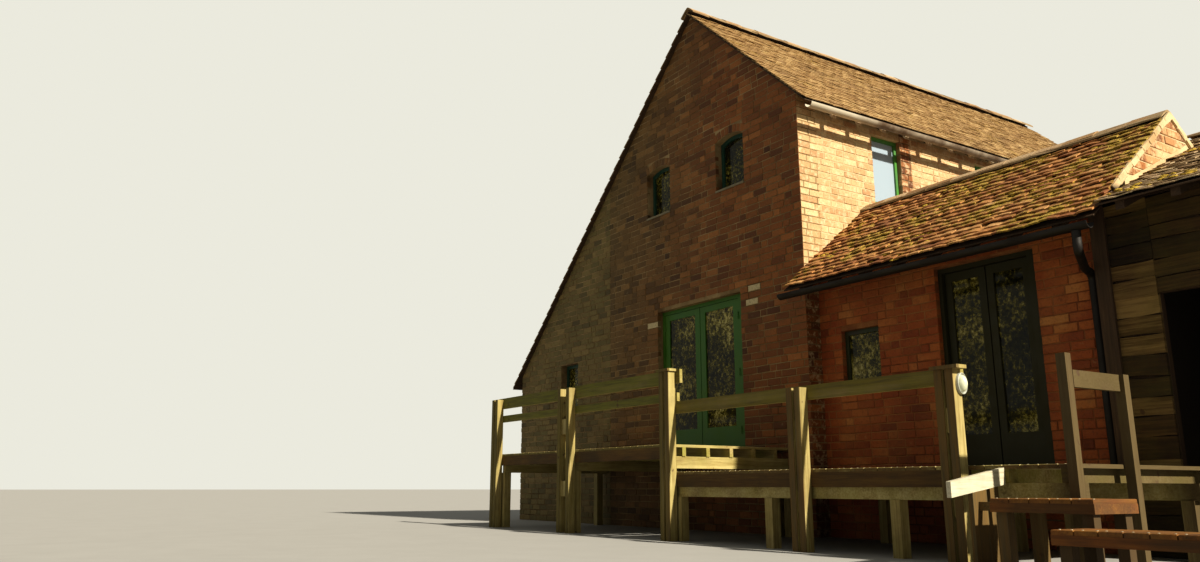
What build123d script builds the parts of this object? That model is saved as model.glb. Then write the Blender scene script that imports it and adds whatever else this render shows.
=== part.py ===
from build123d import *
from math import cos, radians, tan
import os

# A brick barn with a long west slope, a lower wing to its east, one bay of outbuilding and a
# raised timber deck along the south side. Sizes are millimetres.
# X runs east along the gable, Y runs north into the barn and Z is up. The origin is on the ground
# at the outer south-east corner of the barn's gable.

# Barn
barn_width = 7210
barn_length = 8264
ridge_from_east = 2070
ridge_height = 7500
main_pitch = 43.7
east_eave = 259
west_eave = 260
verge = 80
main_wall = 330
aisle_width = 2930
ground_floor_level = 1020
upper_floor_level = 3800
floor_slab = 150

# Roofs
tile_cover = 50
rafter_depth = 100
rafter_width = 75
rafter_pitch = 463
first_rafter = 420
foot_setback = 60
plate_size = 100
plate_inset = 50
seat_clearance = 10
ridge_board_thickness = 30
ridge_board_depth = 200
ridge_tile_radius = 125
ridge_tile_drop = 62
purlin_width = 150
purlin_depth = 200
east_purlin_from_ridge = 1050
west_purlins_from_ridge = (1750, 3450)

# Upper floor
floor_board = 25
joist_depth = 200
joist_width = 60
joist_pitch = 470
beam_size = 300

# Wing
wing_length = 3450
wing_setback = 223
wing_wall = 225
wing_depth = 1944
wing_pitch = 38.6
wing_eave = 604
wing_eave_height = 2856
wing_floor_level = 720
wing_rafter_depth = 75
wing_plate = 75
wing_rafter_pitch = 450
first_wing_rafter = 225
first_shed_rafter = 150
party_wall_thickness = 330

# Outbuilding
bay_length = 2170
outbuilding_pitch = 25.0
outbuilding_eave_y = -340
outbuilding_eave_height = 2953
outbuilding_half_span = 2177
outbuilding_front_y = 123
boarded_wall = 100
shed_plate_height = 50
outbuilding_wall = 225
outbuilding_verge = 80
corner_post_gap = 30
corner_post_size = 130
shed_door_from_wall = 200
shed_door_width = 1270
shed_door_height = 2170

# Windows: west edge, sill, width, height to the springing
upper_window_sill = 4524
upper_window_height = 726
upper_window_width = 580
upper_window_rise = 60
upper_window_edges = (-3240, -1600)
low_window = (-5810, 1850, 550, 720)
rear_room_window = (-2600, 1900, 900, 1000)
east_window_height = 967
east_window_drop = 137
east_window_width = 562
east_window_edges = (1358, 3550, 5742)
wing_window = (330, 1700, 556, 644)
wing_rear_window = (1500, 1700, 556, 644)
frame_face = 50
frame_depth = 60
window_reveal = 110
wing_window_reveal = 60
pane = 8
sill_thickness = 28
sill_projection = 22

# Doors
gable_door_x = -3010
gable_door_width = 1840
gable_door_head = 3066
gable_jambs = (50, 160)
wing_door_x = 1683
wing_door_width = 1147
wing_door_head = 2830
wing_jambs = (45, 110)
door_reveal = 90
wing_door_reveal = 60
door_frame_depth = 95
door_frame_head = 50
threshold = 25
leaf_thickness = 45
leaf_inset = 5
leaf_gap = 6
meeting_gap = 12
gable_stile = 105
gable_top_rail = 85
gable_bottom_rail = 290
wing_stile = 80
wing_top_rail = 90
wing_bottom_rail = 330
door_pane = 12
knuckle_radius = 6
knuckle_length = 50
knuckle_gap = 0.3
hinge_flag = 24
flag_lap = 3
hinges_per_leaf = 3
hinge_end = 180

# Gutters
gutter_radius = 60
gutter_metal = 5
gutter_drop = 25
gutter_bracket_width = 30
downpipe_radius = 38
pipe_metal = 3
gutter_from_roof_end = 10
outlet_from_end = 140
downpipe_from_end = 35
neck_throat = 180
neck_drop = 90
neck_bend_drop = 60
neck_side_step = 25
neck_before_post = 73
downpipe_stand_off = 14
pipe_foot = 30

# Deck
deck_front = -1800
upper_deck_west = -4615
upper_deck_east = -400
lower_deck_east = 4250
deck_board = 30
deck_joist_depth = 100
deck_joist_width = 50
upper_joist_pitch = 340
upper_joist_first = -1600
lower_joist_pitch = 450
lower_joist_first = -375
fascia_depth = 130
fascia_thickness = 30
bearer_width = 76
bearer_depth = 130
leg_size = 100
front_leg_inset = 68
rear_leg_inset = 160
upper_leg_inset = 230
upper_leg_bay = 1930
lower_leg_west_inset = 150
lower_leg_east_inset = 100
lower_leg_west_bay = 1400
lower_leg_east_bay = 1500
post_timber = 70
post_depth = 100
rail_thickness = 38
upper_rail_top = 1820
upper_rail_depth = 150
second_rail_top = 1568
second_rail_depth = 93
lower_rail_top = 1470
lower_rail_depth = 130
end_post_inset = 50
wide_post_inset = 1968
wide_post_width = 285
newel_lap = 19
middle_post_x = 1570
post_drop = 20
twin_post_width = 172
slim_post = 70
entry_width = 828
return_length = 580
return_rail_top = 1355
return_rail_depth = 120
upper_rail_tail = 80
second_rail_tail = 26
cap_thickness = 28
cap_overhang = 22
gate_cap_overhang = 60
spacer_heights = (0.30, 0.73)
spacer_length = 190
lamp_height = 168
lamp_width = 115
lamp_depth = 62
lamp_centre = 1337
lamp_from_front = 12

# Steps
step_from_gate = 579
step_width = 715
step_front = -2400
step_clearance = 11
upper_step_level = 490
lower_step_level = 320
lower_step_shift = 634
lower_step_width = 1000
lower_step_front = -2750
step_apron = 60
step_leg = 75
side_board_from_gate = 263
side_board_length = 620
side_board_top = 700
side_board_depth = 120
side_board_end_depth = 110
side_board_drop = 102
side_leg_spans = ((-2190, -2030), (-1990, -1880))
side_tie_y = -2130

# Where the main lines fall
barn_west = -barn_width
ridge_x = -ridge_from_east
joint_x = barn_west + aisle_width
rear_face = barn_length
inner_rear = rear_face - main_wall
gable_door_east = gable_door_x + gable_door_width
wing_front = wing_setback
wing_rear = wing_front + wing_depth
wing_inner_front = wing_front + wing_wall
wing_inner_rear = wing_rear - wing_wall
wing_ridge_y = (wing_front + wing_rear) / 2
wing_door_east = wing_door_x + wing_door_width
wing_roof_end = wing_length + party_wall_thickness
outbuilding_ridge_y = outbuilding_front_y + outbuilding_half_span
outbuilding_rear_y = outbuilding_ridge_y + outbuilding_half_span
outbuilding_east = wing_roof_end + bay_length + outbuilding_wall
shed_roof_length = outbuilding_east + outbuilding_verge - wing_length
corner_post_x = wing_length + corner_post_gap
boards_west = corner_post_x + corner_post_size
shed_door_x = wing_roof_end + shed_door_from_wall
outlet_x = wing_roof_end - outlet_from_end
downpipe_x = wing_length - downpipe_from_end

leg_rows = (deck_front + front_leg_inset, -rear_leg_inset)
upper_leg_columns = (
    upper_deck_west + upper_leg_inset,
    upper_deck_west + upper_leg_inset + upper_leg_bay,
    upper_deck_east - leg_size / 2,
)
lower_leg_columns = (
    upper_deck_east + lower_leg_west_inset,
    upper_deck_east + lower_leg_west_inset + lower_leg_west_bay,
    lower_deck_east - lower_leg_east_inset - lower_leg_east_bay,
    lower_deck_east - lower_leg_east_inset,
)
end_post_x = upper_deck_west + end_post_inset
wide_post_x = upper_deck_west + wide_post_inset
newel_x = upper_deck_east - newel_lap
slim_post_x = lower_deck_east - slim_post / 2
gate_post_east = slim_post_x - entry_width
gate_post_x = gate_post_east - twin_post_width
step_x = gate_post_east + step_from_gate
side_board_x = gate_post_east + side_board_from_gate
lower_step_x = step_x + lower_step_shift

main_slope = tan(radians(main_pitch))
main_cover = tile_cover / cos(radians(main_pitch))
main_rafter = rafter_depth / cos(radians(main_pitch))
wing_slope = tan(radians(wing_pitch))
wing_cover = tile_cover / cos(radians(wing_pitch))
wing_rafter = wing_rafter_depth / cos(radians(wing_pitch))
shed_slope = tan(radians(outbuilding_pitch))
shed_cover = tile_cover / cos(radians(outbuilding_pitch))
shed_rafter = wing_rafter_depth / cos(radians(outbuilding_pitch))
wing_ridge_height = wing_eave_height + (wing_eave + wing_depth / 2) * wing_slope
shed_ridge_height = outbuilding_eave_height + (outbuilding_ridge_y - outbuilding_eave_y) * shed_slope


def main_roof(x):
    """Height of the barn's tiles at x."""
    return ridge_height - main_slope * abs(x - ridge_x)


def wing_roof(y):
    """Height of the wing's tiles at y."""
    return wing_ridge_height - wing_slope * abs(y - wing_ridge_y)


def shed_roof(y):
    """Height of the outbuilding's tiles at y."""
    return shed_ridge_height - shed_slope * abs(y - outbuilding_ridge_y)


east_wall_top = main_roof(0) - main_cover - main_rafter - seat_clearance
west_wall_top = main_roof(barn_west) - main_cover - main_rafter - seat_clearance
wing_wall_top = wing_roof(wing_front) - wing_cover - wing_rafter - seat_clearance
shed_wall_top = shed_roof(outbuilding_front_y) - shed_cover - shed_rafter - seat_clearance

os.makedirs("parts", exist_ok=True)


def save(piece, name):
    """Labels a finished piece and writes it out."""
    piece.part.label = name
    export_step(piece.part, f"parts/{name}.step")


def looking_north(y):
    """A plane at depth y, with x east and y up. Extruding by a negative length goes north."""
    return Plane(origin=(0, y, 0), x_dir=(1, 0, 0), z_dir=(0, -1, 0))


def looking_west(x):
    """A plane at x, with x north and y up. Extruding goes east."""
    return Plane(origin=(x, 0, 0), x_dir=(0, 1, 0), z_dir=(1, 0, 0))


def block(x, y, z, mode=Mode.ADD):
    """Adds a box to the open part, or cuts it away, from its (low, high) pair along each axis."""
    middle = [(low + high) / 2 for low, high in (x, y, z)]
    with Locations(tuple(middle)):
        Box(x[1] - x[0], y[1] - y[0], z[1] - z[0], mode=mode)


def outline(*points):
    """Adds a closed outline of straight lines to the open line."""
    Polyline(*points, close=True)


def opening(left, sill, width, height, rise=0, inset=0):
    """Adds a window's outline to the open line: a rectangle, or one under a low arch."""
    left, right = left + inset, left + width - inset
    sill, spring = sill + inset, sill + height - inset
    if rise:
        Polyline((left, spring), (left, sill), (right, sill), (right, spring))
        ThreePointArc((left, spring), ((left + right) / 2, spring + rise), (right, spring))
    else:
        Polyline((left, sill), (right, sill), (right, spring), (left, spring), close=True)


def span(start, stop, pitch):
    """Evenly spaced places from start up to stop."""
    return [start + pitch * i for i in range(int((stop - start) // pitch) + 1)]


upper_windows = [
    (x, upper_window_sill, upper_window_width, upper_window_height, upper_window_rise)
    for x in upper_window_edges
]
east_window_sill = east_wall_top - east_window_drop - east_window_height
east_windows = [(y, east_window_sill, east_window_width, east_window_height) for y in east_window_edges]

# The south gable, in two builds: the barn's own end, and the later aisle west of a straight joint
aisle_under = main_roof(joint_x) - main_cover
with BuildPart() as gable_wall_aisle:
    with BuildSketch(looking_north(0)):
        with BuildLine():
            outline(
                (barn_west, 0),
                (joint_x, 0),
                (joint_x, aisle_under),
                (barn_west, main_roof(barn_west) - main_cover),
            )
        make_face()
        with BuildLine():
            opening(*low_window)
        make_face(mode=Mode.SUBTRACT)
    extrude(amount=-main_wall)
save(gable_wall_aisle, "gable_wall_aisle")

with BuildPart() as gable_wall_piers:
    block((joint_x, gable_door_x), (0, main_wall), (0, gable_door_head))
    block((gable_door_east, 0), (0, main_wall), (0, gable_door_head))
save(gable_wall_piers, "gable_wall_piers")

with BuildPart() as gable_wall_upper:
    with BuildSketch(looking_north(0)):
        with BuildLine():
            outline(
                (joint_x, gable_door_head),
                (0, gable_door_head),
                (0, main_roof(0) - main_cover),
                (ridge_x, ridge_height - main_cover),
                (joint_x, aisle_under),
            )
        make_face()
        for window in upper_windows:
            with BuildLine():
                opening(*window)
            make_face(mode=Mode.SUBTRACT)
    extrude(amount=-main_wall)
save(gable_wall_upper, "gable_wall_upper")

with BuildPart() as door_sill_walls:
    block((gable_door_x, gable_door_east), (0, main_wall), (0, ground_floor_level))
    block((wing_door_x, wing_door_east), (wing_front, wing_front + wing_wall), (0, wing_floor_level))
save(door_sill_walls, "door_sill_walls")

with BuildPart() as rear_gable_wall:
    with BuildSketch(looking_north(inner_rear)):
        with BuildLine():
            outline(
                (barn_west, 0),
                (0, 0),
                (0, main_roof(0) - main_cover),
                (ridge_x, ridge_height - main_cover),
                (barn_west, main_roof(barn_west) - main_cover),
            )
        make_face()
        for window in [*upper_windows, low_window, rear_room_window]:
            with BuildLine():
                opening(*window)
            make_face(mode=Mode.SUBTRACT)
    extrude(amount=-main_wall)
save(rear_gable_wall, "rear_gable_wall")

# The long side walls stand between the gables
with BuildPart() as east_wall:
    with BuildSketch(looking_west(-main_wall)):
        with BuildLine():
            outline((main_wall, 0), (inner_rear, 0), (inner_rear, east_wall_top), (main_wall, east_wall_top))
        make_face()
        for window in east_windows:
            with BuildLine():
                opening(*window)
            make_face(mode=Mode.SUBTRACT)
    extrude(amount=main_wall)
save(east_wall, "east_wall")

with BuildPart() as west_wall:
    block((barn_west, barn_west + main_wall), (main_wall, inner_rear), (0, west_wall_top))
save(west_wall, "west_wall")

# Floors
inner_west = barn_west + main_wall
inner_east = -main_wall
with BuildPart() as ground_floors:
    block(
        (inner_west, inner_east),
        (main_wall, inner_rear),
        (ground_floor_level - floor_slab, ground_floor_level),
    )
    block(
        (0, wing_length),
        (wing_inner_front, wing_inner_rear),
        (wing_floor_level - floor_slab, wing_floor_level),
    )
save(ground_floors, "ground_floors")

beam_east = joint_x + beam_size / 2
beam_west = joint_x - beam_size / 2
joist_top = upper_floor_level - floor_board
joist_under = joist_top - joist_depth
with BuildPart() as upper_floor:
    block((beam_west, inner_east), (main_wall, inner_rear), (joist_top, upper_floor_level))
save(upper_floor, "upper_floor")

with BuildPart() as floor_joists:
    for y in span(main_wall + joist_pitch / 2, inner_rear - joist_width, joist_pitch):
        block((beam_west, inner_east), (y, y + joist_width), (joist_under, joist_top))
save(floor_joists, "floor_joists")

with BuildPart() as floor_beam:
    block((beam_west, beam_east), (main_wall, inner_rear), (joist_under - beam_size, joist_under))
save(floor_beam, "floor_beam")


# Roof carpentry of the barn
def main_plate(edge, inward):
    """Corners (x low, x high, z low, z high) of a wall plate, set in from a side wall's outer face."""
    top = (east_wall_top if edge == 0 else west_wall_top) + plate_size
    ends = sorted((edge + inward * plate_inset, edge + inward * (plate_inset + plate_size)))
    return ends[0], ends[1], top - plate_size, top


east_plate = main_plate(0, -1)
west_plate = main_plate(barn_west, 1)
rafter_rows = span(first_rafter, inner_rear - rafter_width, rafter_pitch)


def plate_section(plate, mode=Mode.ADD):
    """Adds a plate's section to the open sketch, or cuts it out as the birdsmouth of a rafter."""
    low, high, under, top = plate
    with Locations(((low + high) / 2, (under + top) / 2)):
        Rectangle(high - low, top - under, mode=mode)


with BuildPart() as rafters:
    for side, foot, plate in (
        (1, east_eave - foot_setback, east_plate),
        (-1, barn_west - west_eave + foot_setback, west_plate),
    ):
        head = ridge_x + side * ridge_board_thickness / 2
        with BuildSketch(*[looking_north(y) for y in rafter_rows]):
            with BuildLine():
                outline(
                    (head, main_roof(head) - main_cover),
                    (foot, main_roof(foot) - main_cover),
                    (foot, main_roof(foot) - main_cover - main_rafter),
                    (head, main_roof(head) - main_cover - main_rafter),
                )
            make_face()
            plate_section(plate, Mode.SUBTRACT)
        extrude(amount=-rafter_width)
save(rafters, "rafters")

with BuildPart() as roof_timbers:
    with BuildSketch(looking_north(main_wall)):
        board_top = main_roof(ridge_x + ridge_board_thickness / 2) - main_cover
        with Locations((ridge_x, board_top - ridge_board_depth / 2)):
            Rectangle(ridge_board_thickness, ridge_board_depth)
        plate_section(east_plate)
        plate_section(west_plate)
        for side, places in ((1, (east_purlin_from_ridge,)), (-1, west_purlins_from_ridge)):
            for place in places:
                x = ridge_x + side * place
                with Locations((x, main_roof(x) - main_cover - main_rafter)):
                    Rectangle(
                        purlin_width,
                        purlin_depth,
                        rotation=-side * main_pitch,
                        align=(Align.CENTER, Align.MAX),
                    )
    extrude(amount=-(inner_rear - main_wall))
save(roof_timbers, "roof_timbers")

# Tiled slopes of the barn, with the battens under them
for name, far in (("roof_east", east_eave), ("roof_west", barn_west - west_eave)):
    with BuildPart() as roof_slope:
        with BuildSketch(looking_north(-verge)):
            with BuildLine():
                outline(
                    (ridge_x, ridge_height),
                    (far, main_roof(far)),
                    (far, main_roof(far) - main_cover),
                    (ridge_x, ridge_height - main_cover),
                )
            make_face()
        extrude(amount=-(barn_length + 2 * verge))
    save(roof_slope, name)


def ridge_section(place, height, slope):
    """Adds a ridge tile bedded on both slopes to the open sketch."""
    with Locations((place, height - ridge_tile_drop)):
        Circle(ridge_tile_radius)
    reach = 2 * ridge_tile_radius
    Polygon(
        (place, height),
        (place + reach, height - reach * slope),
        (place + reach, height - 2 * reach),
        (place - reach, height - 2 * reach),
        (place - reach, height - reach * slope),
        align=None,
        mode=Mode.SUBTRACT,
    )


with BuildPart() as ridge_tiles:
    with BuildSketch(looking_north(-verge)):
        ridge_section(ridge_x, ridge_height, main_slope)
    extrude(amount=-(barn_length + 2 * verge))
    with BuildSketch(looking_west(0)):
        ridge_section(wing_ridge_y, wing_ridge_height, wing_slope)
    extrude(amount=wing_roof_end)
    with BuildSketch(looking_west(wing_length)):
        ridge_section(outbuilding_ridge_y, shed_ridge_height, shed_slope)
    extrude(amount=shed_roof_length)
save(ridge_tiles, "ridge_tiles")

# Half-round gutter under the barn's east eave, on brackets from the rafter feet
gutter_x = east_eave - foot_setback + gutter_bracket_width + gutter_radius
gutter_z = main_roof(east_eave) - main_cover - gutter_drop
with BuildPart() as barn_gutter:
    with BuildSketch(looking_north(-verge)):
        with Locations((gutter_x, gutter_z)):
            Circle(gutter_radius)
            Circle(gutter_radius - gutter_metal, mode=Mode.SUBTRACT)
            Rectangle(2 * gutter_radius, gutter_radius, align=(Align.CENTER, Align.MIN), mode=Mode.SUBTRACT)
    extrude(amount=-(barn_length + 2 * verge))
    bracket_from = east_eave - foot_setback
    for y in rafter_rows[::2]:
        block(
            (bracket_from, bracket_from + gutter_bracket_width + gutter_metal),
            (y + rafter_width / 4, y + rafter_width * 3 / 4),
            (gutter_z - gutter_radius / 4, gutter_z),
        )
save(barn_gutter, "barn_gutter")

# Wing walls
with BuildPart() as wing_wall_left:
    with BuildSketch(looking_north(wing_front)):
        with BuildLine():
            outline((0, 0), (wing_door_x, 0), (wing_door_x, wing_wall_top), (0, wing_wall_top))
        make_face()
        with BuildLine():
            opening(*wing_window)
        make_face(mode=Mode.SUBTRACT)
    extrude(amount=-wing_wall)
save(wing_wall_left, "wing_wall_left")

with BuildPart() as wing_wall_over_door:
    block((wing_door_x, wing_door_east), (wing_front, wing_inner_front), (wing_door_head, wing_wall_top))
save(wing_wall_over_door, "wing_wall_over_door")

with BuildPart() as wing_wall_right:
    block((wing_door_east, wing_length), (wing_front, wing_inner_front), (0, wing_wall_top))
save(wing_wall_right, "wing_wall_right")

with BuildPart() as wing_rear_wall:
    with BuildSketch(looking_north(wing_inner_rear)):
        with BuildLine():
            outline((0, 0), (wing_length, 0), (wing_length, wing_wall_top), (0, wing_wall_top))
        make_face()
        with BuildLine():
            opening(*wing_rear_window)
        make_face(mode=Mode.SUBTRACT)
    extrude(amount=-wing_wall)
save(wing_rear_wall, "wing_rear_wall")

# The wall between wing and outbuilding carries both roofs. North of roof_step_y the outbuilding's
# roof is the higher one and runs over it.
shed_line = outbuilding_eave_height - outbuilding_eave_y * shed_slope - shed_cover
wing_line = wing_ridge_height + wing_ridge_y * wing_slope
roof_step_y = (wing_line - shed_line) / (shed_slope + wing_slope)
with BuildPart() as party_wall:
    with BuildSketch(looking_west(wing_length)):
        with BuildLine():
            outline(
                (wing_front, 0),
                (outbuilding_rear_y, 0),
                (outbuilding_rear_y, shed_roof(outbuilding_rear_y) - shed_cover),
                (outbuilding_ridge_y, shed_ridge_height - shed_cover),
                (roof_step_y, shed_roof(roof_step_y) - shed_cover),
                (roof_step_y, wing_roof(roof_step_y) - wing_cover),
                (wing_ridge_y, wing_ridge_height - wing_cover),
                (wing_front, wing_roof(wing_front) - wing_cover),
            )
        make_face()
    extrude(amount=party_wall_thickness)
save(party_wall, "party_wall")

# Carpentry of the two low roofs, with a ridge board in each
shed_door_east = shed_door_x + shed_door_width
shed_inner_east = outbuilding_east - outbuilding_wall
wing_eaves = (wing_front - wing_eave, wing_rear + wing_eave)
shed_eaves = (outbuilding_eave_y, 2 * outbuilding_ridge_y - outbuilding_eave_y)
wing_plates = [
    (low, low + wing_plate, wing_wall_top, wing_wall_top + wing_plate)
    for low in (wing_front + plate_inset, wing_rear - plate_inset - wing_plate)
]
shed_plates = [
    (low, low + wing_plate, shed_wall_top, shed_wall_top + shed_plate_height)
    for low in (
        outbuilding_front_y + (boarded_wall - wing_plate) / 2,
        outbuilding_rear_y - (boarded_wall + wing_plate) / 2,
    )
]
wing_rows = span(first_wing_rafter, wing_length - rafter_width, wing_rafter_pitch)
shed_rows = span(wing_roof_end + first_shed_rafter, shed_inner_east - rafter_width, wing_rafter_pitch)
with BuildPart() as low_rafters:
    for rows, eaves, plates, ridge_y, roof, cover, depth in (
        (wing_rows, wing_eaves, wing_plates, wing_ridge_y, wing_roof, wing_cover, wing_rafter),
        (shed_rows, shed_eaves, shed_plates, outbuilding_ridge_y, shed_roof, shed_cover, shed_rafter),
    ):
        for side, eave, plate in zip((-1, 1), eaves, plates):
            head = ridge_y + side * ridge_board_thickness / 2
            foot = eave - side * foot_setback
            with BuildSketch(*[looking_west(x) for x in rows]):
                with BuildLine():
                    outline(
                        (head, roof(head) - cover),
                        (foot, roof(foot) - cover),
                        (foot, roof(foot) - cover - depth),
                        (head, roof(head) - cover - depth),
                    )
                make_face()
                plate_section(plate, Mode.SUBTRACT)
            extrude(amount=rafter_width)
save(low_rafters, "low_rafters")

with BuildPart() as low_roof_timbers:
    for start, length, plates, ridge_y, roof, cover in (
        (0, wing_length, wing_plates, wing_ridge_y, wing_roof, wing_cover),
        (wing_roof_end, bay_length, shed_plates, outbuilding_ridge_y, shed_roof, shed_cover),
    ):
        with BuildSketch(looking_west(start)):
            board_top = roof(ridge_y + ridge_board_thickness / 2) - cover
            with Locations((ridge_y, board_top - ridge_board_depth / 2)):
                Rectangle(ridge_board_thickness, ridge_board_depth)
            for plate in plates:
                plate_section(plate)
        extrude(amount=length)
save(low_roof_timbers, "low_roof_timbers")

for name, eave in zip(("wing_roof_front", "wing_roof_rear"), wing_eaves):
    with BuildPart() as roof_slope:
        with BuildSketch(looking_west(0)):
            with BuildLine():
                outline(
                    (wing_ridge_y, wing_ridge_height),
                    (eave, wing_roof(eave)),
                    (eave, wing_roof(eave) - wing_cover),
                    (wing_ridge_y, wing_ridge_height - wing_cover),
                )
            make_face()
        extrude(amount=wing_roof_end)
        if eave > wing_rear:
            over_party_wall = (wing_length, wing_roof_end)
            block(over_party_wall, (roof_step_y, eave), (0, wing_ridge_height), mode=Mode.SUBTRACT)
    save(roof_slope, name)

# Outbuilding
with BuildPart() as corner_post:
    block(
        (corner_post_x, boards_west),
        (wing_front - corner_post_size, wing_front),
        (0, shed_wall_top),
    )
save(corner_post, "corner_post")

boards_back = outbuilding_front_y + boarded_wall
with BuildPart() as outbuilding_front_sides:
    block((boards_west, shed_door_x), (outbuilding_front_y, boards_back), (0, shed_wall_top))
    block((shed_door_east, shed_inner_east), (outbuilding_front_y, boards_back), (0, shed_wall_top))
save(outbuilding_front_sides, "outbuilding_front_sides")

with BuildPart() as outbuilding_front_over_door:
    block(
        (shed_door_x, shed_door_east),
        (outbuilding_front_y, boards_back),
        (shed_door_height, shed_wall_top),
    )
save(outbuilding_front_over_door, "outbuilding_front_over_door")

with BuildPart() as outbuilding_rear_wall:
    block(
        (wing_roof_end, shed_inner_east),
        (outbuilding_rear_y - outbuilding_wall, outbuilding_rear_y),
        (0, shed_wall_top),
    )
save(outbuilding_rear_wall, "outbuilding_rear_wall")

with BuildPart() as outbuilding_end_wall:
    with BuildSketch(looking_west(shed_inner_east)):
        with BuildLine():
            outline(
                (outbuilding_front_y, 0),
                (outbuilding_rear_y, 0),
                (outbuilding_rear_y, shed_roof(outbuilding_rear_y) - shed_cover),
                (outbuilding_ridge_y, shed_ridge_height - shed_cover),
                (outbuilding_front_y, shed_roof(outbuilding_front_y) - shed_cover),
            )
        make_face()
    extrude(amount=outbuilding_wall)
save(outbuilding_end_wall, "outbuilding_end_wall")

for name, eave in zip(("outbuilding_roof_front", "outbuilding_roof_rear"), shed_eaves):
    with BuildPart() as roof_slope:
        with BuildSketch(looking_west(wing_length)):
            with BuildLine():
                outline(
                    (outbuilding_ridge_y, shed_ridge_height),
                    (eave, shed_roof(eave)),
                    (eave, shed_roof(eave) - shed_cover),
                    (outbuilding_ridge_y, shed_ridge_height - shed_cover),
                )
            make_face()
        extrude(amount=shed_roof_length)
        if eave < outbuilding_front_y:
            under_wing_roof = (eave, roof_step_y)
            block((wing_length, wing_roof_end), under_wing_roof, (0, shed_ridge_height), mode=Mode.SUBTRACT)
    save(roof_slope, name)

# Window frames and panes, each in its wall's reveal
pane_setback = (frame_depth - pane) / 2
front_windows = [
    *[(0, window_reveal, window) for window in [*upper_windows, low_window]],
    (wing_front, wing_window_reveal, wing_window),
]
rear_windows = [
    *[(rear_face, window_reveal, window) for window in [*upper_windows, low_window, rear_room_window]],
    (wing_rear, wing_window_reveal, wing_rear_window),
]
south_faces = [(face + reveal, window) for face, reveal, window in front_windows]
north_faces = [(face - reveal - frame_depth, window) for face, reveal, window in rear_windows]

with BuildPart() as window_frames:
    for y, window in south_faces + north_faces:
        with BuildSketch(looking_north(y)):
            with BuildLine():
                opening(*window)
            make_face()
            with BuildLine():
                opening(*window, inset=frame_face)
            make_face(mode=Mode.SUBTRACT)
        extrude(amount=-frame_depth)
    for window in east_windows:
        with BuildSketch(looking_west(-wing_window_reveal - frame_depth)):
            with BuildLine():
                opening(*window)
            make_face()
            with BuildLine():
                opening(*window, inset=frame_face)
            make_face(mode=Mode.SUBTRACT)
        extrude(amount=frame_depth)
save(window_frames, "window_frames")

with BuildPart() as window_panes:
    for y, window in south_faces + north_faces:
        with BuildSketch(looking_north(y + pane_setback)):
            with BuildLine():
                opening(*window, inset=frame_face)
            make_face()
        extrude(amount=-pane)
    for window in east_windows:
        with BuildSketch(looking_west(-wing_window_reveal - frame_depth + pane_setback)):
            with BuildLine():
                opening(*window, inset=frame_face)
            make_face()
        extrude(amount=pane)
save(window_panes, "window_panes")

with BuildPart() as window_sills:
    for face, reveal, (left, sill, width, *_) in front_windows[:2]:
        block(
            (left, left + width),
            (face - sill_projection, face + reveal),
            (sill, sill + sill_thickness),
        )
save(window_sills, "window_sills")


# Glazed doors. Each pair of leaves fills its frame between the jambs, less the running clearances.
gable_doorway = (gable_door_x, gable_door_width, ground_floor_level, gable_door_head)
wing_doorway = (wing_door_x, wing_door_width, wing_floor_level, wing_door_head)
gable_frame_y = door_reveal
wing_frame_y = wing_front + wing_door_reveal


def rectangle(low, high, mode=Mode.ADD):
    """Adds a rectangle to the open sketch, or cuts it away, from its lower and upper corners."""
    with Locations(((low[0] + high[0]) / 2, (low[1] + high[1]) / 2)):
        Rectangle(high[0] - low[0], high[1] - low[1], mode=mode)


def clear_opening(doorway, jambs):
    """Lower and upper corners of the space inside a door frame."""
    left, width, base, head = doorway
    return (left + jambs[0], base + threshold), (left + width - jambs[1], head - door_frame_head)


def leaf_corners(doorway, jambs):
    """Lower and upper corners of the west and the east leaf."""
    (west, low), (east, high) = clear_opening(doorway, jambs)
    low, high = low + leaf_gap, high - leaf_gap
    west, east = west + leaf_gap, east - leaf_gap
    middle = (west + east) / 2
    half_gap = meeting_gap / 2
    return ((west, low), (middle - half_gap, high)), ((middle + half_gap, low), (east, high))


def hinge_axes(doorway, jambs):
    """X of the west and the east hinge axes, midway between jamb and leaf."""
    (west, _), (east, _) = clear_opening(doorway, jambs)
    return west + leaf_gap / 2, east - leaf_gap / 2


def knuckle(x, y, toward, seat, low):
    """Adds half a hinge to the open part: a barrel on the axis, and a flag from it to its seat."""
    with Locations((x, y, low)):
        Cylinder(knuckle_radius, knuckle_length, align=(Align.CENTER, Align.CENTER, Align.MIN))
    near = y + (seat - y) * flag_lap / abs(seat - y)
    block(sorted((x, x + toward * hinge_flag)), sorted((near, seat)), (low, low + knuckle_length))


def hinge_heights(low, high):
    """Undersides of the hinges, from near the bottom of a leaf to near its top."""
    first, last = low + hinge_end, high - hinge_end - 2 * knuckle_length
    return [first + (last - first) * i / (hinges_per_leaf - 1) for i in range(hinges_per_leaf)]


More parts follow.
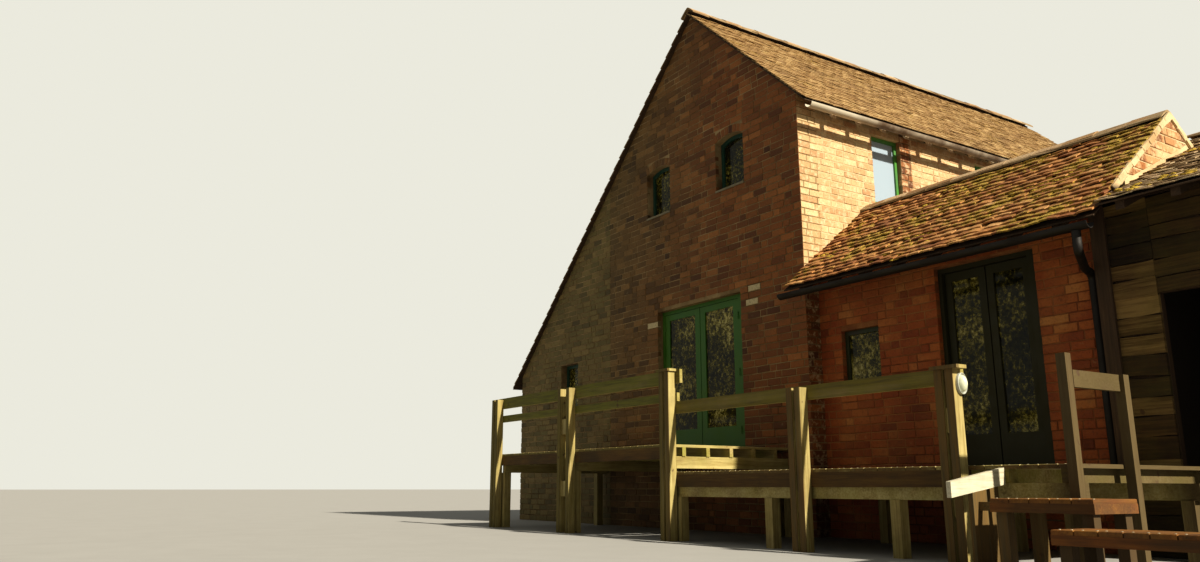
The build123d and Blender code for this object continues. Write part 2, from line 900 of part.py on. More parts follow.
# Doorway, the frame's outer face, the leaves' outer face and the side that the hinges are on. The
# gable's leaves lie at the front of their frame and open outward, the wing's at the back and inward.
gable_leaf_y = gable_frame_y + leaf_inset
wing_leaf_y = wing_frame_y + door_frame_depth - leaf_inset - leaf_thickness
gable_rails = (gable_stile, gable_bottom_rail, gable_top_rail)
wing_rails = (wing_stile, wing_bottom_rail, wing_top_rail)
doors = (
    ("gable", gable_doorway, gable_jambs, gable_frame_y, gable_leaf_y, -1, gable_rails),
    ("wing", wing_doorway, wing_jambs, wing_frame_y, wing_leaf_y, 1, wing_rails),
)
for name, doorway, jambs, frame_y, leaf_y, side, (stile, bottom_rail, top_rail) in doors:
    left, width, base, head = doorway
    frame_face_y = frame_y + door_frame_depth if side > 0 else frame_y
    leaf_face_y = leaf_y + leaf_thickness if side > 0 else leaf_y
    hinge_y = frame_face_y + side * knuckle_radius
    axes = hinge_axes(doorway, jambs)
    corners = leaf_corners(doorway, jambs)
    heights = hinge_heights(corners[0][0][1], corners[0][1][1])
    with BuildPart() as door_frame:
        with BuildSketch(looking_north(frame_y)):
            rectangle((left, base), (left + width, head))
            rectangle(*clear_opening(doorway, jambs), mode=Mode.SUBTRACT)
        extrude(amount=-door_frame_depth)
        for x, outward in zip(axes, (-1, 1)):
            for height in heights:
                knuckle(x, hinge_y, outward, frame_face_y, height)
    save(door_frame, f"{name}_door_frame")

    for hand, x, inward, (low, high) in zip(("left", "right"), axes, (1, -1), corners):
        glass_low = (low[0] + stile, low[1] + bottom_rail)
        glass_high = (high[0] - stile, high[1] - top_rail)
        with BuildPart() as leaf:
            with BuildSketch(looking_north(leaf_y)):
                rectangle(low, high)
                rectangle(glass_low, glass_high, Mode.SUBTRACT)
            extrude(amount=-leaf_thickness)
            for height in heights:
                knuckle(x, hinge_y, inward, leaf_face_y, height + knuckle_length + knuckle_gap)
        save(leaf, f"{name}_leaf_{hand}")
        with BuildPart() as leaf_glass:
            with BuildSketch(looking_north(leaf_y + (leaf_thickness - door_pane) / 2)):
                rectangle(glass_low, glass_high)
            extrude(amount=-door_pane)
        save(leaf_glass, f"{name}_leaf_{hand}_glass")

# Wing gutter with its swan-neck and downpipe, which stands off the wall and passes the deck's end
wing_gutter_y = wing_eaves[0] + foot_setback - gutter_bracket_width - gutter_radius
wing_gutter_z = wing_roof(wing_eaves[0]) - wing_cover - gutter_drop
downpipe_y = wing_front - downpipe_stand_off - downpipe_radius
neck_top = wing_gutter_z - gutter_radius + gutter_metal / 2
neck_turn = neck_top - neck_throat
neck_foot = neck_turn - neck_drop
neck_bend_y = wing_front - corner_post_size - neck_before_post
neck_bend = (downpipe_x + neck_side_step, neck_bend_y, neck_turn - neck_bend_drop)
with BuildPart() as wing_gutter:
    with BuildSketch(looking_west(0)):
        with Locations((wing_gutter_y, wing_gutter_z)):
            Circle(gutter_radius)
            Circle(gutter_radius - gutter_metal, mode=Mode.SUBTRACT)
            Rectangle(2 * gutter_radius, gutter_radius, align=(Align.CENTER, Align.MIN), mode=Mode.SUBTRACT)
    extrude(amount=wing_roof_end - gutter_from_roof_end)
    bracket_to = wing_eaves[0] + foot_setback
    for x in wing_rows[::2]:
        block(
            (x + rafter_width / 4, x + rafter_width * 3 / 4),
            (bracket_to - gutter_bracket_width - gutter_metal, bracket_to),
            (wing_gutter_z - gutter_radius / 4, wing_gutter_z),
        )
    with BuildLine() as pipe_route:
        FilletPolyline(
            (outlet_x, wing_gutter_y, neck_top),
            (outlet_x, wing_gutter_y, neck_turn),
            neck_bend,
            (downpipe_x, downpipe_y, neck_foot),
            (downpipe_x, downpipe_y, pipe_foot),
            radius=2 * downpipe_radius,
        )
    with BuildSketch(Plane(origin=pipe_route.line @ 0, z_dir=pipe_route.line % 0)):
        Circle(downpipe_radius)
        Circle(downpipe_radius - pipe_metal, mode=Mode.SUBTRACT)
    sweep()
save(wing_gutter, "wing_gutter")

# Deck. Boards run north from the front edge, on joists, bearers and legs.
upper_boards_under = ground_floor_level - deck_board
lower_boards_under = wing_floor_level - deck_board
upper_joists_under = upper_boards_under - deck_joist_depth
lower_joists_under = lower_boards_under - deck_joist_depth
upper_bearer_under = upper_joists_under - bearer_depth
lower_bearer_under = lower_joists_under - bearer_depth
joist_front = deck_front + fascia_thickness
pipe_gap = downpipe_x - 2 * downpipe_radius
corner_face = wing_front - corner_post_size
with BuildPart() as upper_deck_boards:
    block(
        (upper_deck_west, upper_deck_east),
        (deck_front, 0),
        (upper_boards_under, ground_floor_level),
    )
save(upper_deck_boards, "upper_deck_boards")

with BuildPart() as lower_deck_boards:
    with BuildSketch(Plane.XY.offset(lower_boards_under)):
        with BuildLine():
            outline(
                (upper_deck_east, deck_front),
                (lower_deck_east, deck_front),
                (lower_deck_east, outbuilding_front_y),
                (boards_west, outbuilding_front_y),
                (boards_west, corner_face),
                (pipe_gap, corner_face),
                (pipe_gap, wing_front),
                (0, wing_front),
                (0, 0),
                (upper_deck_east, 0),
            )
        make_face()
    extrude(amount=deck_board)
save(lower_deck_boards, "lower_deck_boards")

lower_joist_rows = span(lower_joist_first, lower_deck_east - deck_joist_width, lower_joist_pitch)
with BuildPart() as deck_joists:
    for y in span(upper_joist_first, -deck_joist_width, upper_joist_pitch):
        block(
            (upper_deck_west, upper_deck_east),
            (y, y + deck_joist_width),
            (upper_joists_under, upper_boards_under),
        )
    for x in lower_joist_rows:
        front = deck_front if x > gate_post_east else joist_front
        back = 0 if x < 0 else outbuilding_front_y if x > boards_west else wing_front
        block((x, x + deck_joist_width), (front, back), (lower_joists_under, lower_boards_under))
save(deck_joists, "deck_joists")

with BuildPart() as deck_bearers:
    for x in upper_leg_columns:
        block(
            (x - bearer_width / 2, x + bearer_width / 2),
            (joist_front, 0),
            (upper_bearer_under, upper_joists_under),
        )
    for y in leg_rows:
        block(
            (upper_deck_east, lower_deck_east),
            (y - bearer_width / 2, y + bearer_width / 2),
            (lower_bearer_under, lower_joists_under),
        )
    step_board_under = upper_step_level - deck_board
    block(
        (side_board_x + rail_thickness, step_x),
        (side_tie_y, side_tie_y + rail_thickness),
        (step_board_under - step_apron, step_board_under),
    )
save(deck_bearers, "deck_bearers")

# Each rail post is a pair of timbers with spacers between them, bolted to the front of the deck
post_front = deck_front - post_depth
rail_back = deck_front + rail_thickness


def twin_post(west, width, top):
    """Adds a pair of timbers joined by spacers to the open part."""
    east = west + width
    for x in (west, east - post_timber):
        block((x, x + post_timber), (post_front, deck_front), (0, top))
    for share in spacer_heights:
        middle = top * share
        block(
            (west + post_timber, east - post_timber),
            (post_front + post_depth / 4, deck_front),
            (middle - spacer_length / 2, middle + spacer_length / 2),
        )


def post_cap(west, width, top, east_overhang=cap_overhang):
    """Adds a flat cap over a post to the open part."""
    block(
        (west - cap_overhang, west + width + east_overhang),
        (post_front - cap_overhang, deck_front),
        (top, top + cap_thickness),
    )


upper_post_top = upper_rail_top - post_drop
lower_post_top = lower_rail_top - post_drop
with BuildPart() as deck_posts:
    twin_post(end_post_x, twin_post_width, upper_post_top)
    twin_post(wide_post_x, wide_post_width, upper_post_top)
    twin_post(newel_x, twin_post_width, upper_post_top)
    post_cap(newel_x, twin_post_width, upper_post_top)
    twin_post(middle_post_x, twin_post_width, lower_post_top)
    twin_post(gate_post_x, twin_post_width, lower_post_top)
    post_cap(gate_post_x, twin_post_width, lower_post_top, gate_cap_overhang)
    block(
        (slim_post_x, slim_post_x + slim_post),
        (deck_front - slim_post, deck_front),
        (0, lower_rail_top),
    )
    return_post_y = deck_front + return_length
    block(
        (lower_deck_east, lower_deck_east + slim_post),
        (return_post_y, return_post_y + slim_post),
        (0, return_rail_top),
    )
save(deck_posts, "deck_posts")

newel_middle = newel_x + twin_post_width / 2
newel_east = newel_x + twin_post_width
with BuildPart() as deck_rails:
    for west, east, top, depth in (
        (end_post_x, newel_east + upper_rail_tail, upper_rail_top, upper_rail_depth),
        (end_post_x, newel_east + second_rail_tail, second_rail_top, second_rail_depth),
        (newel_middle, gate_post_east, lower_rail_top, lower_rail_depth),
    ):
        block((west, east), (deck_front, rail_back), (top - depth, top))
    block(
        (lower_deck_east, lower_deck_east + rail_thickness),
        (deck_front, return_post_y),
        (return_rail_top - return_rail_depth, return_rail_top),
    )
save(deck_rails, "deck_rails")

with BuildPart() as deck_lamp:
    with BuildSketch(looking_west(gate_post_east)):
        with Locations((deck_front - lamp_from_front, lamp_centre)):
            Ellipse(lamp_width / 2, lamp_height / 2)
    extrude(amount=lamp_depth)
    fillet(deck_lamp.faces().sort_by(Axis.X)[-1].edges(), radius=lamp_depth / 3)
save(deck_lamp, "deck_lamp")

# Two low platforms step down from the deck's open bay to the ground. Each is a board top on an
# apron, with legs inside the apron's corners. The lower one laps under the upper one's front. A
# slanting board runs down beside them from the deck's edge, on two flat legs of its own, and one
# tie holds it to the upper platform.
side_board_end = deck_front - side_board_length
side_board_end_top = side_board_top - side_board_drop


def side_board_under(y):
    """Height of the slanting board's lower edge at y."""
    share = (deck_front - y) / side_board_length
    deck_end = side_board_top - side_board_depth
    low_end = side_board_end_top - side_board_end_depth
    return deck_end + (low_end - deck_end) * share


step_back = post_front - step_clearance
platforms = (
    (step_x, step_x + step_width, step_front, step_back, upper_step_level),
    (
        lower_step_x,
        lower_step_x + lower_step_width,
        lower_step_front,
        step_front + fascia_thickness,
        lower_step_level,
    ),
)
with BuildPart() as step_treads:
    for west, east, front, back, level in platforms:
        block((west, east), (front, back), (level - deck_board, level))
save(step_treads, "step_treads")

with BuildPart() as deck_fascia:
    block(
        (upper_deck_west, upper_deck_east),
        (deck_front, joist_front),
        (upper_boards_under - fascia_depth, upper_boards_under),
    )
    block(
        (upper_deck_east, gate_post_east),
        (deck_front, joist_front),
        (lower_boards_under - fascia_depth, lower_boards_under),
    )
    lap = fascia_thickness
    for west, east, front, back, level in platforms:
        under = level - deck_board
        block((west, east), (front, back), (under - step_apron, under))
        block((west + lap, east - lap), (front + lap, back - lap), (under - step_apron, under), Mode.SUBTRACT)
save(deck_fascia, "deck_fascia")

with BuildPart() as deck_legs:
    for columns, top in ((upper_leg_columns, upper_bearer_under), (lower_leg_columns, lower_bearer_under)):
        for x in columns:
            for y in leg_rows:
                block(
                    (x - leg_size / 2, x + leg_size / 2),
                    (y - leg_size / 2, y + leg_size / 2),
                    (0, top),
                )
    for west, east, front, back, level in platforms:
        for x in (west + lap, east - lap - step_leg):
            for y in (front + lap, back - lap - step_leg):
                block((x, x + step_leg), (y, y + step_leg), (0, level - deck_board))
    with BuildSketch(looking_west(side_board_x)):
        for front, back in side_leg_spans:
            with BuildLine():
                outline(
                    (front, 0),
                    (back, 0),
                    (back, side_board_under(back)),
                    (front, side_board_under(front)),
                )
            make_face()
    extrude(amount=rail_thickness)
save(deck_legs, "deck_legs")

with BuildPart() as step_side_board:
    with BuildSketch(looking_west(side_board_x)):
        with BuildLine():
            outline(
                (deck_front, side_board_top),
                (side_board_end, side_board_end_top),
                (side_board_end, side_board_under(side_board_end)),
                (deck_front, side_board_under(deck_front)),
            )
        make_face()
    extrude(amount=rail_thickness)
save(step_side_board, "step_side_board")
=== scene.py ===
# %% [markdown]
# # A brick barn, dressed
# The building's solid parts come in as a fixed frame. This lesson lays real bricks, roof tiles and
# boards over them, gives every piece a material made of nodes, and sets the light and the camera.

import math
import bmesh
import bpy
import numpy as np
from mathutils import Matrix, Vector, noise


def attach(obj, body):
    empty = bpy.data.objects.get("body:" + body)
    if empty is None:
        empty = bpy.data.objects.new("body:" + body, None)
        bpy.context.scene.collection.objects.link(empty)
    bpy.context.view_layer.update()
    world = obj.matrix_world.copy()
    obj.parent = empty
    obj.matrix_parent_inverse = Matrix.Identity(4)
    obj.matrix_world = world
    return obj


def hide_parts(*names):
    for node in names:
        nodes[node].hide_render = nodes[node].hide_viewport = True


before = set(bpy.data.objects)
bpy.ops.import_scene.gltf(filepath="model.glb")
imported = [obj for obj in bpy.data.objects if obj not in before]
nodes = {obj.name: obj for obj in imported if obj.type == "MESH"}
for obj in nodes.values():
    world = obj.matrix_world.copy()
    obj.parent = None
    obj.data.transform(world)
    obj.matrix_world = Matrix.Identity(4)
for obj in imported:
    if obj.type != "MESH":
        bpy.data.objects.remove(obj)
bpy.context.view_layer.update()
body_of_building = "building"
print("nodes", len(nodes))

# %% [markdown]
# ## The lines that the pieces follow
# Lengths are metres. X runs east along the gable, Y runs north and Z is up. The roofs are planes, so
# a height and a slope are enough to know where any brick course or tile course stops. Openings are
# given as left side, sill, width and height, because the courses have to stop beside them.

# %% Sizes of the building
barn_west, barn_length = -7.21, 8.264
joint_x = -4.28
ridge_x, ridge_height = -2.07, 7.5
main_pitch, wing_pitch, shed_pitch = (math.radians(a) for a in (43.7, 38.6, 25.0))
cover = 0.05
east_eave, west_eave, verge = 0.259, -7.47, 0.08
wing_front, wing_rear, wing_length, wing_roof_end = 0.223, 2.167, 3.45, 3.78
wing_ridge_y, wing_ridge_height, wing_overhang = 1.195, 4.1141, 1.576
shed_ridge_y, shed_ridge_height, shed_half = 2.3, 4.184, 2.64
shed_front, shed_rear, shed_east, shed_roof_east = 0.123, 4.477, 6.175, 6.255
roof_step_y = 1.5908
upper_windows = ((-3.24, 4.524, 0.58, 0.726), (-1.6, 4.524, 0.58, 0.726))
window_rise = 0.06
low_window = (-5.81, 1.85, 0.55, 0.72)
rear_window = (-2.6, 1.9, 0.9, 1.0)
east_windows = [(y, 4.2, 0.562, 0.967) for y in (1.358, 3.55, 5.742)]
wing_window, wing_rear_window = (0.33, 1.7, 0.556, 0.644), (1.5, 1.7, 0.556, 0.644)
gable_door, wing_door = (-3.01, 1.02, 1.84, 2.046), (1.683, 0.72, 1.147, 2.11)
east_top, wing_top, shed_top = 5.304, 3.168, 3.021
deck_front, upper_level, lower_level = -1.8, 1.02, 0.72


def under_tiles(x):
    """Height of the underside of the barn's roof at x."""
    return ridge_height - math.tan(main_pitch) * abs(x - ridge_x) - cover / math.cos(main_pitch)


def reach(height, far, ridge=ridge_x, top=ridge_height, pitch=main_pitch):
    """How far from the ridge a wall may run at a height, towards its far end."""
    room = max((top - cover / math.cos(pitch) - height) / math.tan(pitch), 0)
    return max(far, ridge - room) if far < ridge else min(far, ridge + room)


print("east wall under the tiles", round(under_tiles(0), 3))

# %% [markdown]
# ## Sums with sockets
# A material is a network of small nodes. It could be wired by hand in the shader editor, but it reads
# more easily when a socket can be added and multiplied like a number. So one small class wraps a
# socket, and each sign adds its Math node.

# %% A socket that can be used in sums
class Wire:
    """One output of a node tree. A plus, minus or times sign makes a Math node."""

    def __init__(self, finish, socket):
        self.finish = finish
        self.socket = socket

    def sum(self, operation, left, right):
        return self.finish.node("Math", {"operation": operation}, {0: left, 1: right})

    def __add__(self, other):
        return self.sum("ADD", self, other)

    def __sub__(self, other):
        return self.sum("SUBTRACT", self, other)

    def __rsub__(self, other):
        return self.sum("SUBTRACT", other, self)

    def __mul__(self, other):
        return self.sum("MULTIPLY", self, other)

    __radd__ = __add__
    __rmul__ = __mul__


print("a socket can be used in sums")

# %% [markdown]
# ## A material from the first node to the last
# Every finish starts from the place of a point on the building, so that no pattern slides when a
# piece is moved or copied. It ends in one shader with a colour, a roughness and a fine bump.

# %% A finish
class Finish:
    """A material that is put together node by node."""

    def __init__(self, name):
        self.material = bpy.data.materials.new(name)
        self.material.use_nodes = True
        self.tree = self.material.node_tree
        self.tree.nodes.clear()
        self.place = self.node("TexCoord", output="Object")

    def node(self, kind, settings=None, sockets=None, output=0):
        made = self.tree.nodes.new("ShaderNode" + kind)
        for key, value in (settings or {}).items():
            if key == "stops":
                self.set_stops(made.color_ramp, value)
            else:
                setattr(made, key, value)
        for key, value in (sockets or {}).items():
            self.feed(made.inputs[key], value)
        return Wire(self, made.outputs[output])

    def feed(self, socket, value):
        if isinstance(value, Wire):
            self.tree.links.new(value.socket, socket)
        else:
            socket.default_value = value

    def set_stops(self, ramp, stops):
        while len(ramp.elements) < len(stops):
            ramp.elements.new(1.0)
        for element, (position, colour) in zip(ramp.elements, stops):
            element.position = position
            element.color = (*colour, 1)

    def axes(self):
        """The place of a point along X, Y and Z, in metres."""
        parts = self.node("SeparateXYZ", None, {"Vector": self.place})
        return [Wire(self, parts.socket.node.outputs[index]) for index in range(3)]

    def noise(self, scale, detail=3.0, rough=0.55, stretch=(1, 1, 1), shift=(0, 0, 0)):
        """Soft random patches. Scale is how many go to a metre."""
        where = self.node("Mapping", None, {"Vector": self.place, "Scale": stretch, "Location": shift})
        sockets = {"Vector": where, "Scale": scale, "Detail": detail, "Roughness": rough}
        return self.node("TexNoise", None, sockets)

    def between(self, value, low, high):
        """Runs from 0 at low to 1 at high."""
        return self.node("MapRange", {"clamp": True}, {"Value": value, "From Min": low, "From Max": high})

    def ramp(self, value, stops):
        return self.node("ValToRGB", {"stops": stops}, {"Fac": value})

    def mix(self, low, high, amount):
        made = self.node("Mix", {"data_type": "RGBA"}, {0: amount}).socket.node
        for index, colour in ((6, low), (7, high)):
            self.feed(made.inputs[index], colour if isinstance(colour, Wire) else (*colour, 1))
        return Wire(self, made.outputs[2])

    def tone(self):
        """A number that each brick, tile or board carries in its mesh."""
        return self.node("Attribute", {"attribute_name": "tone", "attribute_type": "GEOMETRY"}, output="Fac")

    def surface(self, colour, roughness, height, depth, **fixed):
        """Ends the material: colour, roughness and a bump of the given depth in metres."""
        bump = self.node("Bump", None, {"Height": height, "Distance": depth, "Strength": 1.0})
        sockets = {"Base Color": colour, "Roughness": roughness, "Normal": bump, **fixed}
        shader = self.node("BsdfPrincipled", None, sockets)
        end = self.tree.nodes.new("ShaderNodeOutputMaterial")
        self.tree.links.new(shader.socket, end.inputs["Surface"])
        return self.material


print("a finish can be made")

# %% [markdown]
# ## Brick and mortar
# Old bricks differ one from the next, because each sat at its own place in the kiln. A brick texture
# node could draw them, but it would know nothing of corners and arches. So a random number on each
# modelled brick picks its colour, wide soft patches darken whole areas as weather does, and a fine
# noise makes the pits. Mortar is a sandy paste, so it is paler and rougher than the brick.

# %% How brick and mortar are made
odd_brick, brick_soot, weather_black = (0.50, 0.42, 0.25), (0.05, 0.022, 0.01), (0.035, 0.025, 0.010)
sand_shade = (0.04, 0.025, 0.012)
dark_joint = (0.12, 0.07, 0.025)


def spread(colours, last=1.0):
    """Ramp stops at equal steps from 0 to last."""
    return [(last * index / (len(colours) - 1), colour) for index, colour in enumerate(colours)]


def brick_finish(name, near, far, share, dirt, smear=(0.30, 0.24, 0.13), smear_from=0.62):
    """near and far are two sets of brick colours. share says how much of the far set shows where."""
    look = Finish(name)
    tone = look.tone()
    own = look.mix(look.ramp(tone, spread(near, 0.95)), look.ramp(tone, spread(far, 0.95)), share(look))
    own = look.mix(own, odd_brick, look.between(tone, 0.965, 0.975))
    colour = look.mix(own, brick_soot, look.between(look.noise(38, 4, 0.65), 0.5, 0.8) * 0.6)
    weather = look.between(look.noise(0.8, 6, 0.66, shift=(3.1, 0.7, 0.2)), 0.5, 0.75)
    colour = look.mix(colour, weather_black, weather * (dirt * 0.7))
    paste = look.between(look.noise(11, 5, 0.72, shift=(1, 5, 2)), smear_from, smear_from + 0.1)
    colour = look.mix(colour, smear, paste * 0.55)
    pits = look.noise(150, 3, 0.7)
    height = pits * 0.5 + look.noise(28, 3, 0.6) * 0.9
    return look.surface(colour, look.between(pits, -0.6, 0.9), height, 0.005)


def mortar_finish(name, pale, dark, far=None, share=None):
    """Sandy joints in two tones. share says where a third colour shows."""
    look = Finish(name)
    sand = look.noise(260, 2, 0.7)
    colour = look.mix(pale, dark, look.between(look.noise(1.4, 6, 0.66), 0.38, 0.62))
    if share:
        colour = look.mix(colour, far, share(look))
    colour = look.mix(colour, sand_shade, look.between(sand, 0.45, 0.7) * 0.5)
    return look.surface(colour, 0.93, sand * 0.4 + look.noise(30, 3, 0.6), 0.004)


print("brick and mortar can be made")

# %% [markdown]
# ## Where the bricks change colour
# The gable is redder near the wing and mossier to the west. Painted shade darkens the east wall's corner
# under the wing's roof, a strip beside its first window, and the outbuilding's room. A mask is made of soft
# edges along X, Y and Z. It could be painted by hand, but edges in metres stay right when a wall's bricks
# are laid again.

# %% Masks on the walls
def patches(scale, low, high, shift):
    """Soft patches that say where the second set of bricks shows."""
    return lambda look: look.between(look.noise(scale, 4, 0.6, shift=shift), low, high)


def gable_share(look):
    """Redder to the east and low down, browner and mossier to the west."""
    x, y, z = look.axes()
    return look.between(x + look.noise(0.55, 3, 0.5, shift=(8, 3, 1)) * 3.0 - z * 0.14, -3.6, 0.4)


def east_wall_painted_shade(look):
    """Painted shade: the corner's foot under the wing's roof, and a dark strip beside the first window where
    its reveal lies in shade.
    """
    x, y, z = look.axes()
    foot = look.between(z, 3.25, 3.05) * look.between(y, 0.4, 0.3)
    strip = look.between(z, 4.36, 4.42) * look.between(y, 1.90, 1.93) * look.between(y, 2.15, 2.12)
    return foot + strip


def shed_room_painted_shade(look):
    """Painted shade on the outbuilding's inner faces, which get little light in the closed room."""
    x, y, z = look.axes()
    behind_rear = look.between(y, shed_rear - 0.004, shed_rear - 0.010)
    return behind_rear * look.between(x, shed_east - 0.004, shed_east - 0.010)


def party_wall_painted_shade(look):
    """Painted shade on the party wall under the outbuilding's roof, as dark as the rest of that room."""
    x, y, z = look.axes()
    return look.between(z, 3.18, 3.12)


print("masks ready")

# %% [markdown]
# ## The walls' own bricks
# The gable is brown, the aisle mossy, the east wall nearly yellow in the sun, the wing a strong red.
# Each set runs from a burnt brick to a pale one, and the smear is the lime that washes over them.

# %% Brick and mortar for each wall
brown_bricks = [(0.050, 0.030, 0.010), (0.105, 0.068, 0.020), (0.145, 0.090, 0.026), (0.21, 0.13, 0.042)]
red_bricks = [(0.075, 0.022, 0.005), (0.165, 0.052, 0.010), (0.235, 0.078, 0.014), (0.34, 0.13, 0.032)]
mossy_bricks = [(0.10, 0.082, 0.030), (0.17, 0.150, 0.050), (0.205, 0.170, 0.058), (0.25, 0.20, 0.075)]
yellow_bricks = [(0.36, 0.19, 0.085), (0.45, 0.27, 0.125), (0.50, 0.34, 0.17), (0.55, 0.41, 0.22)]
wing_bricks = [(0.15, 0.030, 0.008), (0.27, 0.058, 0.011), (0.33, 0.078, 0.014), (0.40, 0.12, 0.024)]
wing_pale_bricks = [(0.20, 0.050, 0.012), (0.33, 0.095, 0.020), (0.40, 0.13, 0.030), (0.46, 0.20, 0.055)]
end_bricks = [(0.20, 0.075, 0.028), (0.30, 0.12, 0.045), (0.36, 0.17, 0.065), (0.44, 0.25, 0.11)]
party_bricks = [(0.30, 0.12, 0.04), (0.42, 0.21, 0.085), (0.50, 0.33, 0.16), (0.60, 0.46, 0.28)]
gable_brick = brick_finish("brick_gable", brown_bricks, red_bricks, gable_share, 0.6)
aisle_brick = brick_finish(
    "brick_aisle", mossy_bricks, brown_bricks, lambda look: look.noise(1.2, 4, 0.6), 0.6,
)
# Where the east wall's painted shade mask lies, red bricks stand in for the shade.
east_brick = brick_finish("brick_east", yellow_bricks, red_bricks, east_wall_painted_shade, 0.25, (0.60, 0.48, 0.30), 0.5)
wing_brick = brick_finish(
    "brick_wing", wing_bricks, wing_pale_bricks, patches(1.9, 0.45, 0.65, (2, 2, 2)),
    0.45, (0.36, 0.20, 0.09), 0.64,
)
end_brick = brick_finish(
    "brick_end", end_bricks, red_bricks, patches(1.3, 0.45, 0.6, (6, 1, 3)), 0.5, (0.44, 0.32, 0.18), 0.56,
)
party_brick = brick_finish(
    "brick_party", party_bricks, red_bricks, patches(3.1, 0.5, 0.6, (2, 9, 2)), 0.3, (0.60, 0.46, 0.27), 0.5,
)
# Near black, painted shade for the inside of the outbuilding's room.
painted_room_shade = (0.022, 0.013, 0.006)
gable_mortar = mortar_finish("mortar_gable", (0.36, 0.26, 0.13), dark_joint)
# The east mortar's darkest colour is painted shade, where the same mask lies.
east_mortar = mortar_finish(
    "mortar_east", (0.56, 0.46, 0.28), (0.47, 0.34, 0.18), (0.12, 0.07, 0.03), east_wall_painted_shade,
)
wing_mortar = mortar_finish("mortar_wing", (0.38, 0.17, 0.06), (0.17, 0.05, 0.016))
# The outbuilding's mortar turns to painted shade on the room's inner faces.
shed_mortar = mortar_finish(
    "mortar_outbuilding", (0.34, 0.155, 0.055), (0.17, 0.05, 0.016), painted_room_shade, shed_room_painted_shade,
)
# The party wall's mortar turns to painted shade under the outbuilding's roof.
party_mortar = mortar_finish(
    "mortar_party", (0.60, 0.48, 0.29), (0.42, 0.27, 0.13), painted_room_shade, party_wall_painted_shade,
)
print("brick and mortar made")

# %% [markdown]
# ## Tiles and moss
# Clay tiles start orange and go brown. Moss needs damp, so it grows in clumps where a wide noise and
# a fine one are both high, and more of it where a roof stays wet. The same noise lifts the bump, so
# that the green also stands up a little.

# %% Roof tile materials
tile_shade, tile_soot, lichen = (0.06, 0.025, 0.010), (0.07, 0.035, 0.014), (0.50, 0.42, 0.27)
moss_greens = [(0.25, (0.13, 0.08, 0.010)), (0.5, (0.34, 0.225, 0.025)), (0.8, (0.60, 0.42, 0.075))]


def tile_finish(name, colours, moss, moss_from, lean=None):
    """moss is how strongly it covers, and moss_from how rare it is. lean says where there is more."""
    look = Finish(name)
    own = look.ramp(look.tone(), spread(colours))
    grain = look.noise(60, 4, 0.7)
    colour = look.mix(own, tile_shade, look.between(grain, 0.42, 0.72) * 0.75)
    soot = look.between(look.noise(1.3, 5, 0.7, shift=(9, 4, 2)), 0.5, 0.7)
    colour = look.mix(colour, tile_soot, soot * 0.35)
    clumps = look.noise(2.0, 4, 0.6, shift=(0.4, 2.0, 0.9)) * 0.6 + look.noise(16, 4, 0.7) * 0.44
    if lean:
        clumps = clumps + lean(look)
    growth = look.between(clumps, moss_from, moss_from + 0.06)
    colour = look.mix(colour, look.ramp(look.noise(45, 3, 0.6), moss_greens), growth * moss)
    spots = look.between(look.noise(75, 2, 0.5, shift=(7, 1, 3)), 0.66, 0.72)
    colour = look.mix(colour, lichen, spots * 0.6)
    height = growth * look.noise(90, 4, 0.7) * (2.2 * moss) + grain * 0.6
    return look.surface(colour, look.between(grain, -1.2, 0.9), height, 0.007)


def wing_lean(look):
    """More moss towards the east end and the top of the wing's roof."""
    x, y, z = look.axes()
    return (x - 2.0) * 0.014 + (z - 3.5) * 0.03


brown_clay = [
    (0.21, 0.12, 0.045), (0.29, 0.175, 0.068), (0.33, 0.21, 0.085), (0.38, 0.25, 0.105), (0.46, 0.33, 0.16),
]
orange_clay = [
    (0.12, 0.035, 0.010), (0.28, 0.105, 0.028), (0.40, 0.175, 0.050), (0.48, 0.235, 0.075),
    (0.58, 0.34, 0.14),
]
grey_clay = [
    (0.24, 0.15, 0.075), (0.33, 0.23, 0.125), (0.40, 0.29, 0.165), (0.46, 0.35, 0.21), (0.55, 0.45, 0.29),
]
pale_clay = [(0.26, 0.14, 0.06), (0.36, 0.22, 0.10), (0.46, 0.31, 0.17), (0.58, 0.44, 0.27)]
barn_tile = tile_finish("tile_barn", brown_clay, 0.35, 0.60)
low_tile = tile_finish("tile_low", orange_clay, 1.0, 0.53, wing_lean)
shed_tile = tile_finish("tile_outbuilding", grey_clay, 0.7, 0.58)
ridge_clay = tile_finish("tile_ridge", pale_clay, 0.5, 0.60)
bedding = mortar_finish("mortar_ridge", (0.33, 0.24, 0.13), (0.17, 0.10, 0.045))
print("roof tile finishes made")

# %% [markdown]
# ## Timber
# Old timber has grain along its length, so its noise is drawn out that way, and green algae films it
# where rain stays. The deck's front faces turn from the sun, so they carry painted shade mixed with
# algae green and brown, while its tops stay pale; a mask picks the two planes of the front by their place.

# %% How timber is made
front_of_posts = -1.9
# front_shade and far_shade are painted shade, while shade is the dark of stains.
shade, front_shade, far_shade = (0.03, 0.022, 0.008), (0.02, 0.014, 0.004), (0.050, 0.028, 0.007)
knot, algae_green = (0.06, 0.030, 0.012), (0.20, 0.19, 0.022)


def drawn_out(along, share):
    """How a noise is scaled so that it runs on along one axis."""
    return tuple(share if axis == along else 1.0 for axis in "XYZ")


